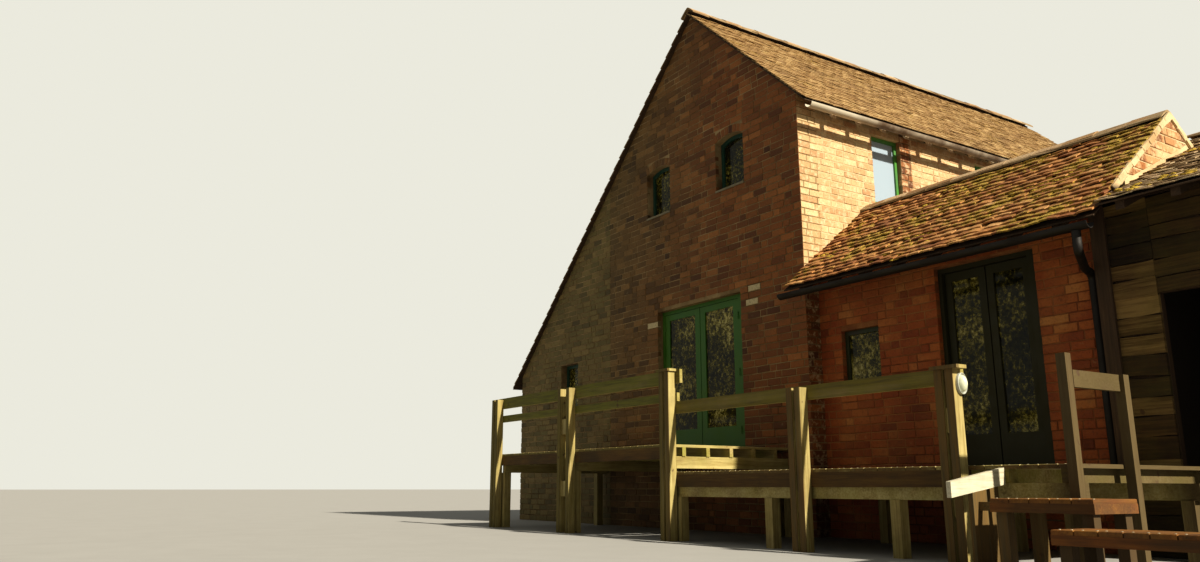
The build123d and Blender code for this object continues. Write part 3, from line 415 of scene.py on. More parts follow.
def timber_finish(name, along, stops, algae=0.0, scale=1.0, roughness=0.78, sawn=0.0, south=None):
    """Weathered wood whose grain runs along one axis. sawn is how much the boards differ, and south
    holds two colours of painted shade for the deck's front, west and east of the gable's corner."""
    look = Finish(name)
    stretch = drawn_out(along, 0.05)
    grain = look.noise(55 * scale, 5, 0.65, stretch)
    wide = look.noise(7 * scale, 3, 0.6, stretch, (2, 3, 4))
    pattern = grain * 0.6 + wide * 0.45
    if sawn:
        pattern = pattern + (look.tone() - 0.5) * sawn
    colour = look.ramp(pattern, stops)
    stain = look.between(look.noise(2.6, 5, 0.65, shift=(5, 1, 2)), 0.42, 0.72)
    colour = look.mix(colour, shade, stain * 0.42)
    if algae:
        mottling = look.between(look.noise(3.4, 4, 0.6, shift=(1, 8, 3)), 0.36, 0.66)
        colour = look.mix(colour, algae_green, mottling * algae)
    if south:
        colour = painted_shade_on_front(look, colour, grain, wide, south)
    knots = look.between(look.noise(9, 2, 0.4, shift=(4, 4, 9)), 0.72, 0.77)
    colour = look.mix(colour, knot, knots * 0.8)
    return look.surface(colour, roughness, grain + wide * 0.6, 0.004)


def painted_shade_on_front(look, colour, grain, wide, south):
    """Paints shade on the deck's front faces, and paints shade on all that lies far to the east."""
    x, y, z = look.axes()
    # The front colour here is painted shade mixed with algae green and brown.
    damp_and_shade = look.mix(*south, look.between(x, -0.45, -0.15))
    damp_and_shade = look.mix(damp_and_shade, front_shade, look.between(grain, 0.42, 0.66) * 0.7)
    off = y - deck_front
    posts = look.between(y, front_of_posts + 0.008, front_of_posts + 0.004)
    front = look.between(posts + look.between(off * off, 9e-6, 4e-6), 0, 1)
    colour = look.mix(colour, damp_and_shade, front * look.between(wide, 0.2, 0.45) * 0.9)
    # Painted shade on all that lies east of x 3.95 to 4.2.
    return look.mix(colour, far_shade, look.between(x, 3.95, 4.2) * 0.88)


print("timber can be made")

# %% [markdown]
# ## The timbers' own colours
# A set of stops runs from the dark of the grain to the bleached ridges between. The deck is grey and
# yellow, the steps and the shed's boards are a red brown, and the new side board is pale.

# %% Timber for each piece
deck_stops = [
    (0.3, (0.12, 0.078, 0.024)), (0.46, (0.28, 0.21, 0.075)),
    (0.60, (0.40, 0.33, 0.14)), (0.78, (0.52, 0.45, 0.24)),
]
brown_stops = [(0.3, (0.05, 0.016, 0.002)), (0.5, (0.15, 0.050, 0.005)), (0.75, (0.26, 0.11, 0.014))]
edge_stops = [(0.3, (0.030, 0.014, 0.002)), (0.5, (0.080, 0.038, 0.004)), (0.75, (0.15, 0.085, 0.012))]
old_stops = [(0.3, (0.022, 0.012, 0.006)), (0.55, (0.06, 0.032, 0.015)), (0.8, (0.12, 0.07, 0.034))]
pale_stops = [(0.3, (0.34, 0.30, 0.20)), (0.5, (0.52, 0.48, 0.36)), (0.75, (0.62, 0.58, 0.46))]
board_stops = [
    (0.2, (0.010, 0.004, 0.001)), (0.42, (0.040, 0.018, 0.004)),
    (0.58, (0.090, 0.046, 0.012)), (0.76, (0.24, 0.155, 0.055)),
]
# Painted shade mixed with brown and with algae green, for the deck's front faces, which turn from the sun.
brown_front_shade = ((0.13, 0.10, 0.014), (0.115, 0.060, 0.009))
mossy_front_shade = ((0.125, 0.125, 0.009), (0.135, 0.105, 0.008))
deck_upright = timber_finish("timber_deck_upright", "Z", deck_stops, 0.2, south=brown_front_shade)
deck_long = timber_finish("timber_deck_long", "X", deck_stops, 0.75, south=mossy_front_shade)
deck_across = timber_finish("timber_deck_across", "Y", deck_stops, 0.3, south=brown_front_shade)
deck_planks = timber_finish("timber_deck_planks", "Y", deck_stops, 0.3, sawn=0.16, south=brown_front_shade)
new_board = timber_finish("timber_pale", "Y", pale_stops)
step_planks = timber_finish("timber_step_planks", "Y", brown_stops, 0.1, sawn=0.12)
old_long = timber_finish("timber_old_long", "Y", old_stops)
old_upright = timber_finish("timber_old_upright", "Z", old_stops)
old_across = timber_finish("timber_old_across", "X", old_stops)
rough_board = timber_finish("timber_boards", "X", board_stops, 0.12, 0.7, 0.88, 0.5)
under_tile = timber_finish("batten_boards", "Y", old_stops)
print("timber made")

# %% [markdown]
# ## Two timbers that change along the building
# The deck's edge boards and the steps' aprons are one piece in the frame, and so are the rafters and
# their painted feet. A mask along Y or X parts the two finishes where one piece of wood ends.

# %% Edge boards and rafters
def edge_board_finish():
    """The deck's edge boards are a dark olive, and the steps' aprons in front of them are redder."""
    look = Finish("timber_deck_apron")
    x, y, z = look.axes()
    stretch = drawn_out("X", 0.05)
    pattern = look.noise(55, 5, 0.65, stretch) * 0.6 + look.noise(7, 3, 0.6, stretch, (2, 3, 4)) * 0.45
    on_deck = look.between(y, -1.88, -1.86)
    colour = look.mix(look.ramp(pattern, brown_stops), look.ramp(pattern, edge_stops), on_deck)
    damp_and_shade = look.between(look.noise(2.1, 4, 0.6, shift=(1, 1, 7)), 0.35, 0.65)
    return look.surface(look.mix(colour, (0.03, 0.02, 0.005), damp_and_shade * 0.6), 0.8, pattern, 0.004)


def rafter_finish():
    """Old dark rafters whose feet, out under the eave, are painted pale."""
    look = Finish("timber_rafters")
    x, y, z = look.axes()
    grain = look.noise(55, 5, 0.65, drawn_out("X", 0.05))
    paint = look.mix((0.62, 0.50, 0.34), (0.40, 0.29, 0.17), look.between(look.noise(18, 4, 0.7), 0.4, 0.7))
    colour = look.mix(look.ramp(grain, old_stops), paint, look.between(x, 0.155, 0.165))
    return look.surface(colour, 0.8, grain, 0.003)


deck_apron = edge_board_finish()
rafter_wood = rafter_finish()
print("edge boards and rafters made")

# %% [markdown]
# ## Paint
# Paint is a thin coat with brush marks that chips to the wood. One node holds all the windows, so
# two masks give those of the east wall a fresh green and those of the wing a dark olive. A gutter is
# painted too, and dirt hides its far end.

# %% Paint materials
def paint_finish(name, colour, worn, dirt, along="Z", others=(), roughness=(-1.2, 2.6)):
    """Paint with brush marks along one axis. others holds colours and the shares that say where."""
    look = Finish(name)
    brush = look.noise(120, 3, 0.6, drawn_out(along, 0.08))
    patch = look.between(look.noise(3.5, 4, 0.6), 0.4, 0.7)
    for other, share in others:
        colour = look.mix(colour, other, share(look))
    mixed = look.mix(colour, worn, patch * 0.45)
    chips = look.between(look.noise(22, 4, 0.75, shift=(3, 2, 6)), 0.66, 0.72)
    return look.surface(look.mix(mixed, dirt, chips * 0.7), look.between(patch, *roughness), brush, 0.0012)


def east_side(look):
    """The east wall's windows, which are a fresher green than the gable's."""
    x, y, z = look.axes()
    return look.between(x, -0.25, -0.2) * look.between(z, 3.2, 3.3)


def wing_side(look):
    """The wing's own windows, which are a dark olive."""
    x, y, z = look.axes()
    return look.between(x, 0.1, 0.2) * look.between(z, 3.1, 3.0)


def far_gutter(look):
    """Dirt on the gutter past its first metre."""
    x, y, z = look.axes()
    return look.between(y + look.noise(2.5, 4, 0.6) * 1.2, 1.2, 1.9)


green_paint = paint_finish("painted_green", (0.036, 0.125, 0.010), (0.075, 0.16, 0.020), (0.03, 0.03, 0.012))
dark_paint = paint_finish(
    "painted_dark_green", (0.022, 0.021, 0.003), (0.034, 0.030, 0.006), (0.03, 0.016, 0.006),
    roughness=(-2.4, 1.9),
)
window_paint = paint_finish(
    "painted_window", (0.012, 0.050, 0.036), (0.03, 0.08, 0.045), (0.02, 0.02, 0.015),
    others=(((0.075, 0.24, 0.045), east_side), ((0.030, 0.026, 0.006), wing_side)),
)
pale_gutter = paint_finish(
    "gutter_pale", (0.40, 0.36, 0.28), (0.50, 0.45, 0.36), (0.14, 0.09, 0.05), "Y",
    (((0.085, 0.052, 0.028), far_gutter),), (-2.4, 2.0),
)
dark_gutter = paint_finish(
    "gutter_dark", (0.006, 0.0035, 0.002), (0.012, 0.006, 0.004), (0.05, 0.02, 0.010), "X",
    roughness=(-2.6, 2.0),
)
print("paint made")

# %% [markdown]
# ## Glass, stone and lamp
# The panes are old and dusty, so they are hardly clear. A mottled painted reflection of dark green and
# gold lies on those in the shade, and the panes high in the east wall carry a painted reflection of the
# grey sky. Stone, studio floor and lamp only need two near tones and a fine grain.

# %% Glass and plain materials
# Stops of a painted reflection, from dark green through olive to gold.
reflection_stops = [
    (0.44, (0.004, 0.005, 0.002)), (0.52, (0.030, 0.029, 0.005)),
    (0.58, (0.17, 0.145, 0.018)), (0.68, (0.66, 0.60, 0.26)),
]


def plain_finish(name, low, high, roughness, grains=60, depth=0.002, **fixed):
    look = Finish(name)
    speckle = look.noise(grains, 4, 0.65)
    patch = look.noise(2.5, 4, 0.6, shift=(1, 1, 5))
    colour = look.mix(low, high, look.between(speckle * 0.5 + patch * 0.5, 0.35, 0.65))
    return look.surface(colour, roughness, speckle, depth, **fixed)


def glass_finish():
    look = Finish("glazing")
    x, y, z = look.axes()
    # Painted reflection: a mottle on every pane, and the grey of the sky on the panes high in the east wall.
    mottling = look.noise(21, 6, 0.85, (1, 1, 0.9)) * 0.75 + look.noise(2.0, 2, 0.5, shift=(4, 1, 1)) * 0.3
    high_in_east_wall = look.between(x, -0.25, -0.2) * look.between(z, 3.9, 4.0)
    colour = look.mix(look.ramp(mottling, reflection_stops), (0.34, 0.42, 0.50), high_in_east_wall)
    return look.surface(colour, 0.07, mottling, 0.0006, Alpha=0.86, IOR=1.5)


glass = glass_finish()
floor_stone = plain_finish("floor_stone", (0.22, 0.20, 0.17), (0.34, 0.31, 0.27), 0.85)
sill_stone = plain_finish("sill_stone", (0.13, 0.11, 0.07), (0.24, 0.21, 0.14), 0.8)
lamp_white = plain_finish("lamp_white", (0.50, 0.52, 0.38), (0.66, 0.68, 0.52), 0.3, 40, 0.0006)
lamp_ring = plain_finish("lamp_ring", (0.30, 0.32, 0.28), (0.50, 0.50, 0.44), 0.4, 40, 0.0006)
pale_floor = plain_finish("studio_floor", (0.325, 0.32, 0.31), (0.345, 0.34, 0.33), 0.9, 2, 0.0005)
print("glass and plain materials made")

# %% [markdown]
# ## Finishing the pieces that stay as they came
# A wall's solid becomes its mortar, seen between the bricks that are laid on it. Carpentry, paint and
# metal already have their true shape, so they keep it and only get their finish.

# %% Materials on the frame's own pieces
finish_of = {
    gable_mortar: (
        "gable_wall_piers", "gable_wall_upper", "gable_wall_aisle", "rear_gable_wall", "west_wall",
        "door_sill_walls",
    ),
    east_mortar: ("east_wall",),
    wing_mortar: ("wing_wall_left", "wing_wall_over_door", "wing_wall_right", "wing_rear_wall"),
    shed_mortar: ("outbuilding_rear_wall", "outbuilding_end_wall"),
    party_mortar: ("party_wall",),
    barn_tile: ("roof_east", "roof_west"),
    low_tile: ("wing_roof_front", "wing_roof_rear"),
    shed_tile: ("outbuilding_roof_front", "outbuilding_roof_rear"),
    ridge_clay: ("ridge_tiles",),
    rafter_wood: ("rafters",),
    old_across: ("floor_joists",),
    old_long: ("roof_timbers", "floor_beam", "upper_floor", "low_rafters"),
    under_tile: ("low_roof_timbers",),
    old_upright: ("corner_post",),
    rough_board: ("outbuilding_front_sides", "outbuilding_front_over_door"),
    deck_across: ("upper_deck_boards", "lower_deck_boards", "step_treads", "deck_bearers"),
    new_board: ("step_side_board",),
    deck_long: ("deck_joists", "deck_rails"),
    deck_apron: ("deck_fascia",),
    deck_upright: ("deck_legs", "deck_posts"),
    window_paint: ("window_frames",),
    green_paint: ("gable_door_frame", "gable_leaf_left", "gable_leaf_right"),
    dark_paint: ("wing_door_frame", "wing_leaf_left", "wing_leaf_right"),
    glass: (
        "window_panes", "gable_leaf_left_glass", "gable_leaf_right_glass", "wing_leaf_left_glass",
        "wing_leaf_right_glass",
    ),
    floor_stone: ("ground_floors",),
    sill_stone: ("window_sills",),
    pale_gutter: ("barn_gutter",),
    dark_gutter: ("wing_gutter",),
    lamp_white: ("deck_lamp",),
}
for material, names in finish_of.items():
    for name in names:
        nodes[name].data.materials.clear()
        nodes[name].data.materials.append(material)
print("finished nodes", sum(len(names) for names in finish_of.values()))

# %% [markdown]
# ## Shaping by hand
# A brick, a tile or a board starts as a cube at its size and place, and is then cut, pushed and
# bevelled in edit mode. Faces, edges and points are picked by their place or the way they face, as a
# hand would click them.

# %% Helpers for shaping
def let_go():
    bpy.ops.object.select_all(action="DESELECT")


def begin(name):
    """Names the primitive that was just added and goes into edit mode with all of it picked."""
    piece = bpy.context.active_object
    piece.name = piece.data.name = name
    bpy.ops.object.mode_set(mode="EDIT")
    bpy.ops.mesh.select_all(action="SELECT")
    return piece


def start_box(name, low, high):
    """Adds a cube between two corners and goes into edit mode with nothing picked."""
    let_go()
    bpy.ops.mesh.primitive_cube_add(size=1)
    piece = begin(name)
    bpy.ops.transform.resize(value=[b - a for a, b in zip(low, high)])
    bpy.ops.transform.translate(value=[(a + b) / 2 for a, b in zip(low, high)])
    bpy.ops.mesh.select_all(action="DESELECT")
    return piece


def pick(piece, kind, test):
    """Selects the faces, edges or vertices of a piece in edit mode that pass a test."""
    cage = bmesh.from_edit_mesh(piece.data)
    bpy.context.tool_settings.mesh_select_mode = (kind == "verts", kind == "edges", kind == "faces")
    for part in getattr(cage, kind):
        part.select_set(test(part))
    cage.select_flush_mode()
    bmesh.update_edit_mesh(piece.data)


def push(piece, test, by):
    """Moves the points that pass a test."""
    pick(piece, "verts", test)
    bpy.ops.transform.translate(value=by)


def ease(width, segments=1):
    """Wears the picked edges round."""
    bpy.ops.mesh.bevel(offset=width, segments=segments, affect="EDGES")


def cut_across(places, normal=(1, 0, 0)):
    """Cuts the piece in edit mode by a plane at each place."""
    for place in places:
        bpy.ops.mesh.select_all(action="SELECT")
        bpy.ops.mesh.bisect(plane_co=[place * part for part in normal], plane_no=normal)


def stop_editing():
    bpy.ops.object.mode_set(mode="OBJECT")


def take_apart(piece):
    """Gives a shaped piece's points and faces, and puts the piece away."""
    points = np.array([vertex.co[:] for vertex in piece.data.vertices])
    faces = [tuple(face.vertices) for face in piece.data.polygons]
    bpy.data.objects.remove(piece)
    return points, faces


def faces_up(face):
    return face.normal.z > 0.9


def dress(piece, material, slot, *replaced):
    """Gives a finished piece its material and its body, and hides the nodes that it stands for. slot is not
    used.
    """
    piece.data.materials.append(material)
    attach(piece, body_of_building)
    for node in replaced:
        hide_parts(node)


print("shaping helpers ready")

# %% [markdown]
# ## Modelling once and laying many times
# What repeats is shaped once. Its copies keep their own vertices in one mesh, and each copy is
# stretched between four corners on a wall or a roof, so that a cut brick keeps its edges. A plain
# array could not end at a window or follow a slope. A random number goes with each copy for its
# colour.

# %% Helpers for laying
class Side:
    """A plane seen from outside: u runs to the right, v runs up it and w comes out of it."""

    def __init__(self, origin, right, up=(0, 0, 1)):
        self.origin, self.right, self.up = (np.array(vector, float) for vector in (origin, right, up))
        self.out = np.cross(self.right, self.up)

    def points(self, u, v, w):
        return self.origin + u[..., None] * self.right + v[..., None] * self.up + w[..., None] * self.out


class Pattern:
    """A shape whose vertices hang on the four corners of the place where a copy is laid."""

    def __init__(self, piece):
        place, self.faces = take_apart(piece)
        half = np.abs(place[:, :2]).max(axis=0)
        share = (place[:, :2] / half + 1) / 2
        at_edge = np.abs(share - 0.5) > 0.45
        self.inset = np.where(at_edge, place[:, :2] - np.sign(place[:, :2]) * half, 0)
        self.share = np.where(share > 0.95, 1, np.where(share < 0.05, 0, share))
        self.rise = place[:, 2]

    def lay(self, corners):
        """corners is copies by 4 by 2, from the lower left round to the right. Gives u, v and w."""
        low = corners[:, None, 0] + (corners[:, None, 1] - corners[:, None, 0]) * self.share[None, :, :1]
        high = corners[:, None, 3] + (corners[:, None, 2] - corners[:, None, 3]) * self.share[None, :, :1]
        flat = low + (high - low) * self.share[None, :, 1:] + self.inset[None]
        return flat[..., 0], flat[..., 1], np.broadcast_to(self.rise, flat.shape[:2]).copy()


def mesh_from(name, points, faces, tones, material, slot, *replaced):
    """Makes one piece of many copies. points is copies by vertices by 3."""
    count, size = points.shape[:2]
    all_faces = (np.array(faces)[None] + size * np.arange(count)[:, None, None]).reshape(-1, len(faces[0]))
    mesh = bpy.data.meshes.new(name)
    mesh.from_pydata(points.reshape(-1, 3).tolist(), [], all_faces.tolist())
    mesh.update()
    tone = mesh.attributes.new("tone", "FLOAT", "POINT")
    tone.data.foreach_set("value", np.repeat(np.array(tones, float), size))
    piece = bpy.data.objects.new(name, mesh)
    bpy.context.scene.collection.objects.link(piece)
    dress(piece, material, slot, *replaced)
    print(name, count, "copies of", len(faces), "faces")


print("laying helpers ready")

# %% [markdown]
# ## A brick
# A brick in a wall shows its face and a few millimetres of its edges, which wear round. So a box that
# is half as deep as a real brick is wide is enough, with the edges of its front bevelled.

# %% The brick that all walls are laid with
brick_high, brick_long, brick_short, joint, course = 0.077, 0.228, 0.108, 0.012, 0.089
brick_deep, brick_proud, brick_wear = 0.052, 0.006, 0.0045
brick = start_box(
    "brick", (-brick_long / 2, -brick_high / 2, -brick_deep), (brick_long / 2, brick_high / 2, brick_proud),
)
pick(brick, "faces", faces_up)
ease(brick_wear)
stop_editing()
brick_pattern = Pattern(brick)
print("brick faces", len(brick_pattern.faces))

# %% [markdown]
# ## Where the bricks of a course stand
# Each course is a strip of wall less its openings. The strip is filled with three long bricks and one
# short one in turn, from a new start in each course, as a wall of this bond looks. An end that meets
# a roof follows the slope.

# %% Courses
rows_drawn = np.random.default_rng(41)
opening_slack, least_strip, least_piece, size_spread = 0.02, 0.03, 0.045, 0.006


def free_strips(low, high, left, right, openings):
    """The parts of a course that no opening takes, each as lower and upper ends."""
    strips = [[left(low), right(low), left(high), right(high)]]
    for hole_left, sill, width, height in openings:
        if low > sill + height - opening_slack or high < sill + opening_slack:
            continue
        kept = []
        for a, b, c, d in strips:
            if b <= hole_left or a >= hole_left + width:
                kept.append([a, b, c, d])
                continue
            kept.append([a, hole_left, c, hole_left])
            kept.append([hole_left + width, b, hole_left + width, d])
        strips = kept
    return [strip for strip in strips if min(strip[1] - strip[0], strip[3] - strip[2]) > least_strip]


def fill_strip(strip, low, high, left, right, mitres):
    """The bricks of a strip. Each has four corners and says which of its ends meet another wall."""
    a, b, c, d = strip
    edges = []
    place = min(a, c) + rows_drawn.uniform(-0.24, -0.02)
    step = int(rows_drawn.integers(4))
    while place < max(b, d):
        size = (brick_short if step % 4 == 3 else brick_long) + rows_drawn.uniform(-size_spread, size_spread)
        edges.append((place, place + size))
        place += size + joint
        step += 1
    inside = [(p, q) for p, q in edges if q > max(a, c) + least_piece and p < min(b, d) - least_piece]
    for index, (p, q) in enumerate(inside):
        first, last = index == 0, index == len(inside) - 1
        lower, upper = (a if first else p, b if last else q), (c if first else p, d if last else q)
        at_left = first and abs(lower[0] - left(low)) < 1e-6
        at_right = last and abs(lower[1] - right(low)) < 1e-6
        corners = ((lower[0], low), (lower[1], low), (upper[1], high), (upper[0], high))
        yield corners, (mitres[0] if at_left else 0, mitres[1] if at_right else 0)


print("course height", course)

# %% [markdown]
# ## Laying a wall
# No mason sets two bricks quite alike. Each one here is out of place by about a millimetre, stands a
# little in or out, and leans a fraction of a degree, which the low sun makes visible. Where two walls
# meet, the end bricks are cut on the slant, so that they meet at the corner without overlapping.

# %% Walls
corner_spread, lift_spread, lean_spread = 0.0012, 0.0028, 0.008


def lay_wall(name, side, left, right, bottom, top, openings, mitres, material, slot, extra=(), pale=()):
    """Fills a wall with courses. left and right give its ends at a height, mitres is 1 for each end
    that meets another wall, extra holds arch bricks and pale the places of single pale bricks."""
    laid = []
    for row in range(int((top - bottom) / course)):
        low = bottom + row * course + joint / 2
        high = low + brick_high
        for strip in free_strips(low, high, left, right, openings):
            laid += fill_strip(strip, low, high, left, right, mitres)
    laid += [(corners, (0, 0)) for corners in extra]
    corners, turns = (np.array(part, float) for part in zip(*laid))
    free = (np.abs(turns).sum(axis=1) == 0)[:, None, None]
    corners += rows_drawn.normal(0, corner_spread, corners.shape) * free
    u, v, w = brick_pattern.lay(corners)
    lift = rows_drawn.uniform(-lift_spread, lift_spread, len(corners))
    tilt = rows_drawn.normal(0, lean_spread, (len(corners), 2))
    middle = corners.mean(axis=1)
    slant = tilt[:, :1] * (u - middle[:, :1]) + tilt[:, 1:] * (v - middle[:, 1:])
    w = np.where(w > 0, w + lift[:, None] + slant, w)
    share = brick_pattern.share[None, :, 0]
    u = u + np.where(share == 1, turns[:, 1:], 0) * w - np.where(share == 0, turns[:, :1], 0) * w
    tones = np.clip(rows_drawn.beta(2.6, 2.6, len(corners)), 0.02, 0.94)
    for x, z in pale:
        tones[np.hypot(middle[:, 0] - x, middle[:, 1] - z).argmin()] = 1.0
    mesh_from(name, side.points(u, v, w), brick_pattern.faces, tones, material, slot)


print("corners out of place by", corner_spread)

# %% [markdown]
# ## The gable and its arches
# Over each upper window a low arch of bricks on edge carries the wall. The arch is a slice of a ring:
# its radius follows from the window's width and the rise, and each brick is a wedge of that ring, so
# it is laid by its four corners like any cut brick.

# %% Gable bricks
arch_count, arch_gap, arch_depth = 8, 0.07, 0.108
clear_of_joint, clear_of_ridge = 0.004, 0.1


def arch_bricks(window):
    """Eight bricks on edge over a window's low arch."""
    left, sill, width, height = window
    half = width / 2
    radius = (half * half + window_rise ** 2) / (2 * window_rise)
    centre = (left + half, sill + height + window_rise - radius)
    angle = math.asin(half / radius)
    inner, outer = radius + 0.004, radius + 0.004 + arch_depth
    bricks = []
    for index in range(arch_count):
        one, two = (-angle + 2 * angle * (index + end) / arch_count for end in (arch_gap, 1 - arch_gap))
        ring = ((inner, one), (inner, two), (outer, two), (outer, one))
        bricks.append([(centre[0] + r * math.sin(t), centre[1] + r * math.cos(t)) for r, t in ring])
    return bricks


def arched_hole(window):
    left, sill, width, height = window
    return (left, sill, width, height + window_rise + 0.115)


arches = [brick for window in upper_windows for brick in arch_bricks(window)]
arched_holes = [arched_hole(window) for window in upper_windows]
gable_pale_bricks = [(-0.963, 3.06), (-0.972, 2.896), (-3.124, 2.892)]
south = Side((0, 0, 0), (1, 0, 0))
lay_wall(
    "gable_bricks", south,
    lambda z: max(joint_x + clear_of_joint, reach(z, barn_west)), lambda z: reach(z, 0),
    0, ridge_height - clear_of_ridge, [*arched_holes, gable_door], (0, 1), gable_brick, "brick_gable",
    arches, gable_pale_bricks,
)
lay_wall(
    "aisle_bricks", south, lambda z: reach(z, barn_west), lambda z: joint_x - clear_of_joint, 0, 5.3,
    [low_window], (1, 0), aisle_brick, "brick_aisle",
)

# %% [markdown]
# ## The other three sides of the barn
# The same courses go round the building. A side that looks the other way has its own plane, on which
# the openings are mirrored, and the east wall stops under the row of purlins.

# %% Rear, east and west bricks
def mirrored(window):
    return (-window[0] - window[2], *window[1:])


rear_holes = [mirrored(hole) for hole in (*arched_holes, low_window, rear_window)]
rear_arches = [[(-x, z) for x, z in (b[1], b[0], b[3], b[2])] for b in arches]
lay_wall(
    "rear_gable_bricks", Side((0, barn_length, 0), (-1, 0, 0)),
    lambda z: -reach(z, 0), lambda z: -reach(z, barn_west),
    0, ridge_height - clear_of_ridge, rear_holes, (1, 1), gable_brick, "brick_gable", rear_arches,
)
under_plate = (0.33, east_top - 0.03, barn_length - 0.66, 0.5)
lay_wall(
    "east_bricks", Side((0, 0, 0), (0, 1, 0)), lambda z: 0.0, lambda z: barn_length, 0, under_tiles(0),
    [*east_windows, under_plate], (1, 1), east_brick, "brick_east",
)
lay_wall(
    "west_bricks", Side((barn_west, 0, 0), (0, -1, 0)), lambda z: -barn_length, lambda z: 0.0,
    0, under_tiles(barn_west) - 0.14, [], (1, 1), aisle_brick, "brick_gable",
)

# %% [markdown]
# ## Wing and outbuilding bricks
# The wing's walls are plain fields of red brick round a window and a door. The outbuilding's end and
# the party wall rise under its low roof, and the wing's own gable stands above that roof, so its
# courses start on one slope and end on another.

# %% Bricks of the low buildings
verge_clear, gable_foot = 0.03, 3.22
shed_under = shed_ridge_height - cover / math.cos(shed_pitch)


def shed_end(height, far):
    return reach(height, far, shed_ridge_y, shed_ridge_height, shed_pitch)


def party_end(height, far):
    return reach(height, far, wing_ridge_y, wing_ridge_height, wing_pitch)


def over_shed_roof(z):
    """Where the outbuilding's roof, which rises towards the north, reaches a height."""
    return shed_ridge_y - (shed_ridge_height + verge_clear - z) / math.tan(shed_pitch)


lay_wall(
    "wing_front_bricks", Side((0, wing_front, 0), (1, 0, 0)), lambda z: 0.0, lambda z: wing_length + 0.028,
    0, wing_top, [wing_window, wing_door], (0, 0), wing_brick, "brick_wing",
)
lay_wall(
    "wing_rear_bricks", Side((0, wing_rear, 0), (-1, 0, 0)), lambda z: -wing_length, lambda z: 0.0,
    0, wing_top, [mirrored(wing_rear_window)], (0, 0), wing_brick, "brick_wing",
)
lay_wall(
    "outbuilding_rear_bricks", Side((0, shed_rear, 0), (-1, 0, 0)),
    lambda z: -shed_east, lambda z: -wing_length, 0, 3.02, [], (1, 1), wing_brick, "brick_wing",
)
lay_wall(
    "outbuilding_end_bricks", Side((shed_east, 0, 0), (0, 1, 0)), lambda z: shed_end(z, shed_front),
    lambda z: shed_end(z, shed_rear), 0, shed_under, [], (0, 1), end_brick, "brick_wing",
)
lay_wall(
    "party_wall_bricks", Side((wing_length, 0, 0), (0, -1, 0)), lambda z: -shed_end(z, shed_rear),
    lambda z: -wing_rear - 0.01, 0, shed_under - 0.5, [], (1, 0), wing_brick, "brick_wing",
)
lay_wall(
    "party_gable_bricks", Side((wing_roof_end, 0, 0), (0, 1, 0)), lambda z: party_end(z, wing_front),
    lambda z: min(over_shed_roof(z), party_end(z, roof_step_y)), gable_foot, wing_ridge_height - 0.06,
    [], (0, 0), party_brick, "brick_wing",
)

# %% [markdown]
# ## A roof tile
# A plain clay tile is a thin plate with a slight camber. Each course lies on the one below, so a
# tile's lower end stands up and throws the shadow line that makes a tiled roof. The wing's tiles are
# rougher than the rest, so a thicker and more bent pattern serves them.

# %% The two tiles that the roofs are covered with
tile_wide, tile_long, gauge = 0.165, 0.19, 0.1


def shape_tile(thick, tail_lift, camber):
    """A plate with a camber across it, whose lower end stands up on the course below."""
    tile = start_box("tile", (-tile_wide / 2, -tile_long / 2, 0), (tile_wide / 2, tile_long / 2, thick))
    cut_across([share * tile_wide for share in (-0.25, 0, 0.25)])
    for share, drop in ((0.25, camber / 4), (0.5, camber)):
        push(tile, lambda vertex: abs(abs(vertex.co.x) - share * tile_wide) < 1e-4, (0, 0, -drop))
    push(tile, lambda vertex: vertex.co.y < 0, (0, 0, tail_lift))
    stop_editing()
    return Pattern(tile)


even_tile = shape_tile(0.010, 0.0185, 0.0015)
thick_tile = shape_tile(0.016, 0.034, 0.005)
print("tile faces", len(even_tile.faces))

# %% [markdown]
# ## Covering a slope
# Every second course starts with half a tile, and no course is quite straight: the battens under it
# have sagged in long waves, and single tiles have slipped or twisted. How wild this is differs from
# roof to roof.

# %% Tile courses
tiles_drawn = np.random.default_rng(77)
underlay, first_edge, tile_gap, least_tile = 0.015, 0.004, 0.003, 0.03
slip, twist_spread, tile_lift = 0.0035, 0.018, 0.0018


def lay_tiles(name, side, length, ends, material, slot, node, pattern=even_tile, wild=1.0):
    """Covers a slope. ends(distance) gives the left and right edge of a course at a distance up it."""
    corners = []
    for row in range(int((length - 0.03) / gauge)):
        low = first_edge + row * gauge
        high = min(low + tile_long, length - 0.002)
        left, right = ends(low)
        place = left - (tile_wide / 2 if row % 2 else 0)
        while place < right - least_tile:
            a, b = max(place, left), min(place + tile_wide - tile_gap, right)
            if b - a > least_tile:
                corners.append(((a, low), (b, low), (b, high), (a, high)))
            place += tile_wide
    corners = np.array(corners, float)
    total = len(corners)
    u, v = corners[:, 0, 0], corners[:, 0, 1]
    first_row = v < 0.05
    slide = tiles_drawn.normal(0, slip * wild, total)
    slide = np.where(first_row, np.abs(slide) * 0.5, slide)
    wave = (0.004 * np.sin(u * 1.7 + v * 9) + 0.003 * np.sin(u * 4.1 + 2)) * wild
    corners[:, :2, 1] += (slide + np.where(first_row, np.abs(wave), wave))[:, None]
    u, v, w = pattern.lay(corners)
    middle = corners.mean(axis=1)
    twist = tiles_drawn.normal(0, twist_spread * wild, total)
    lift = np.abs(tiles_drawn.normal(0, tile_lift * wild, total))
    w = w + underlay + lift[:, None] + twist[:, None] * (u - middle[:, :1])
    tones = tiles_drawn.beta(2.4, 2.4, total)
    mesh_from(name, side.points(u, v, w - cover), pattern.faces, tones, material, slot, node)


def slope(eave, right, pitch, uphill):
    """A roof plane from a point on its eave. uphill is the level direction towards the ridge."""
    up = [math.cos(pitch) * part for part in uphill] + [math.sin(pitch)]
    return Side(eave, right, up)


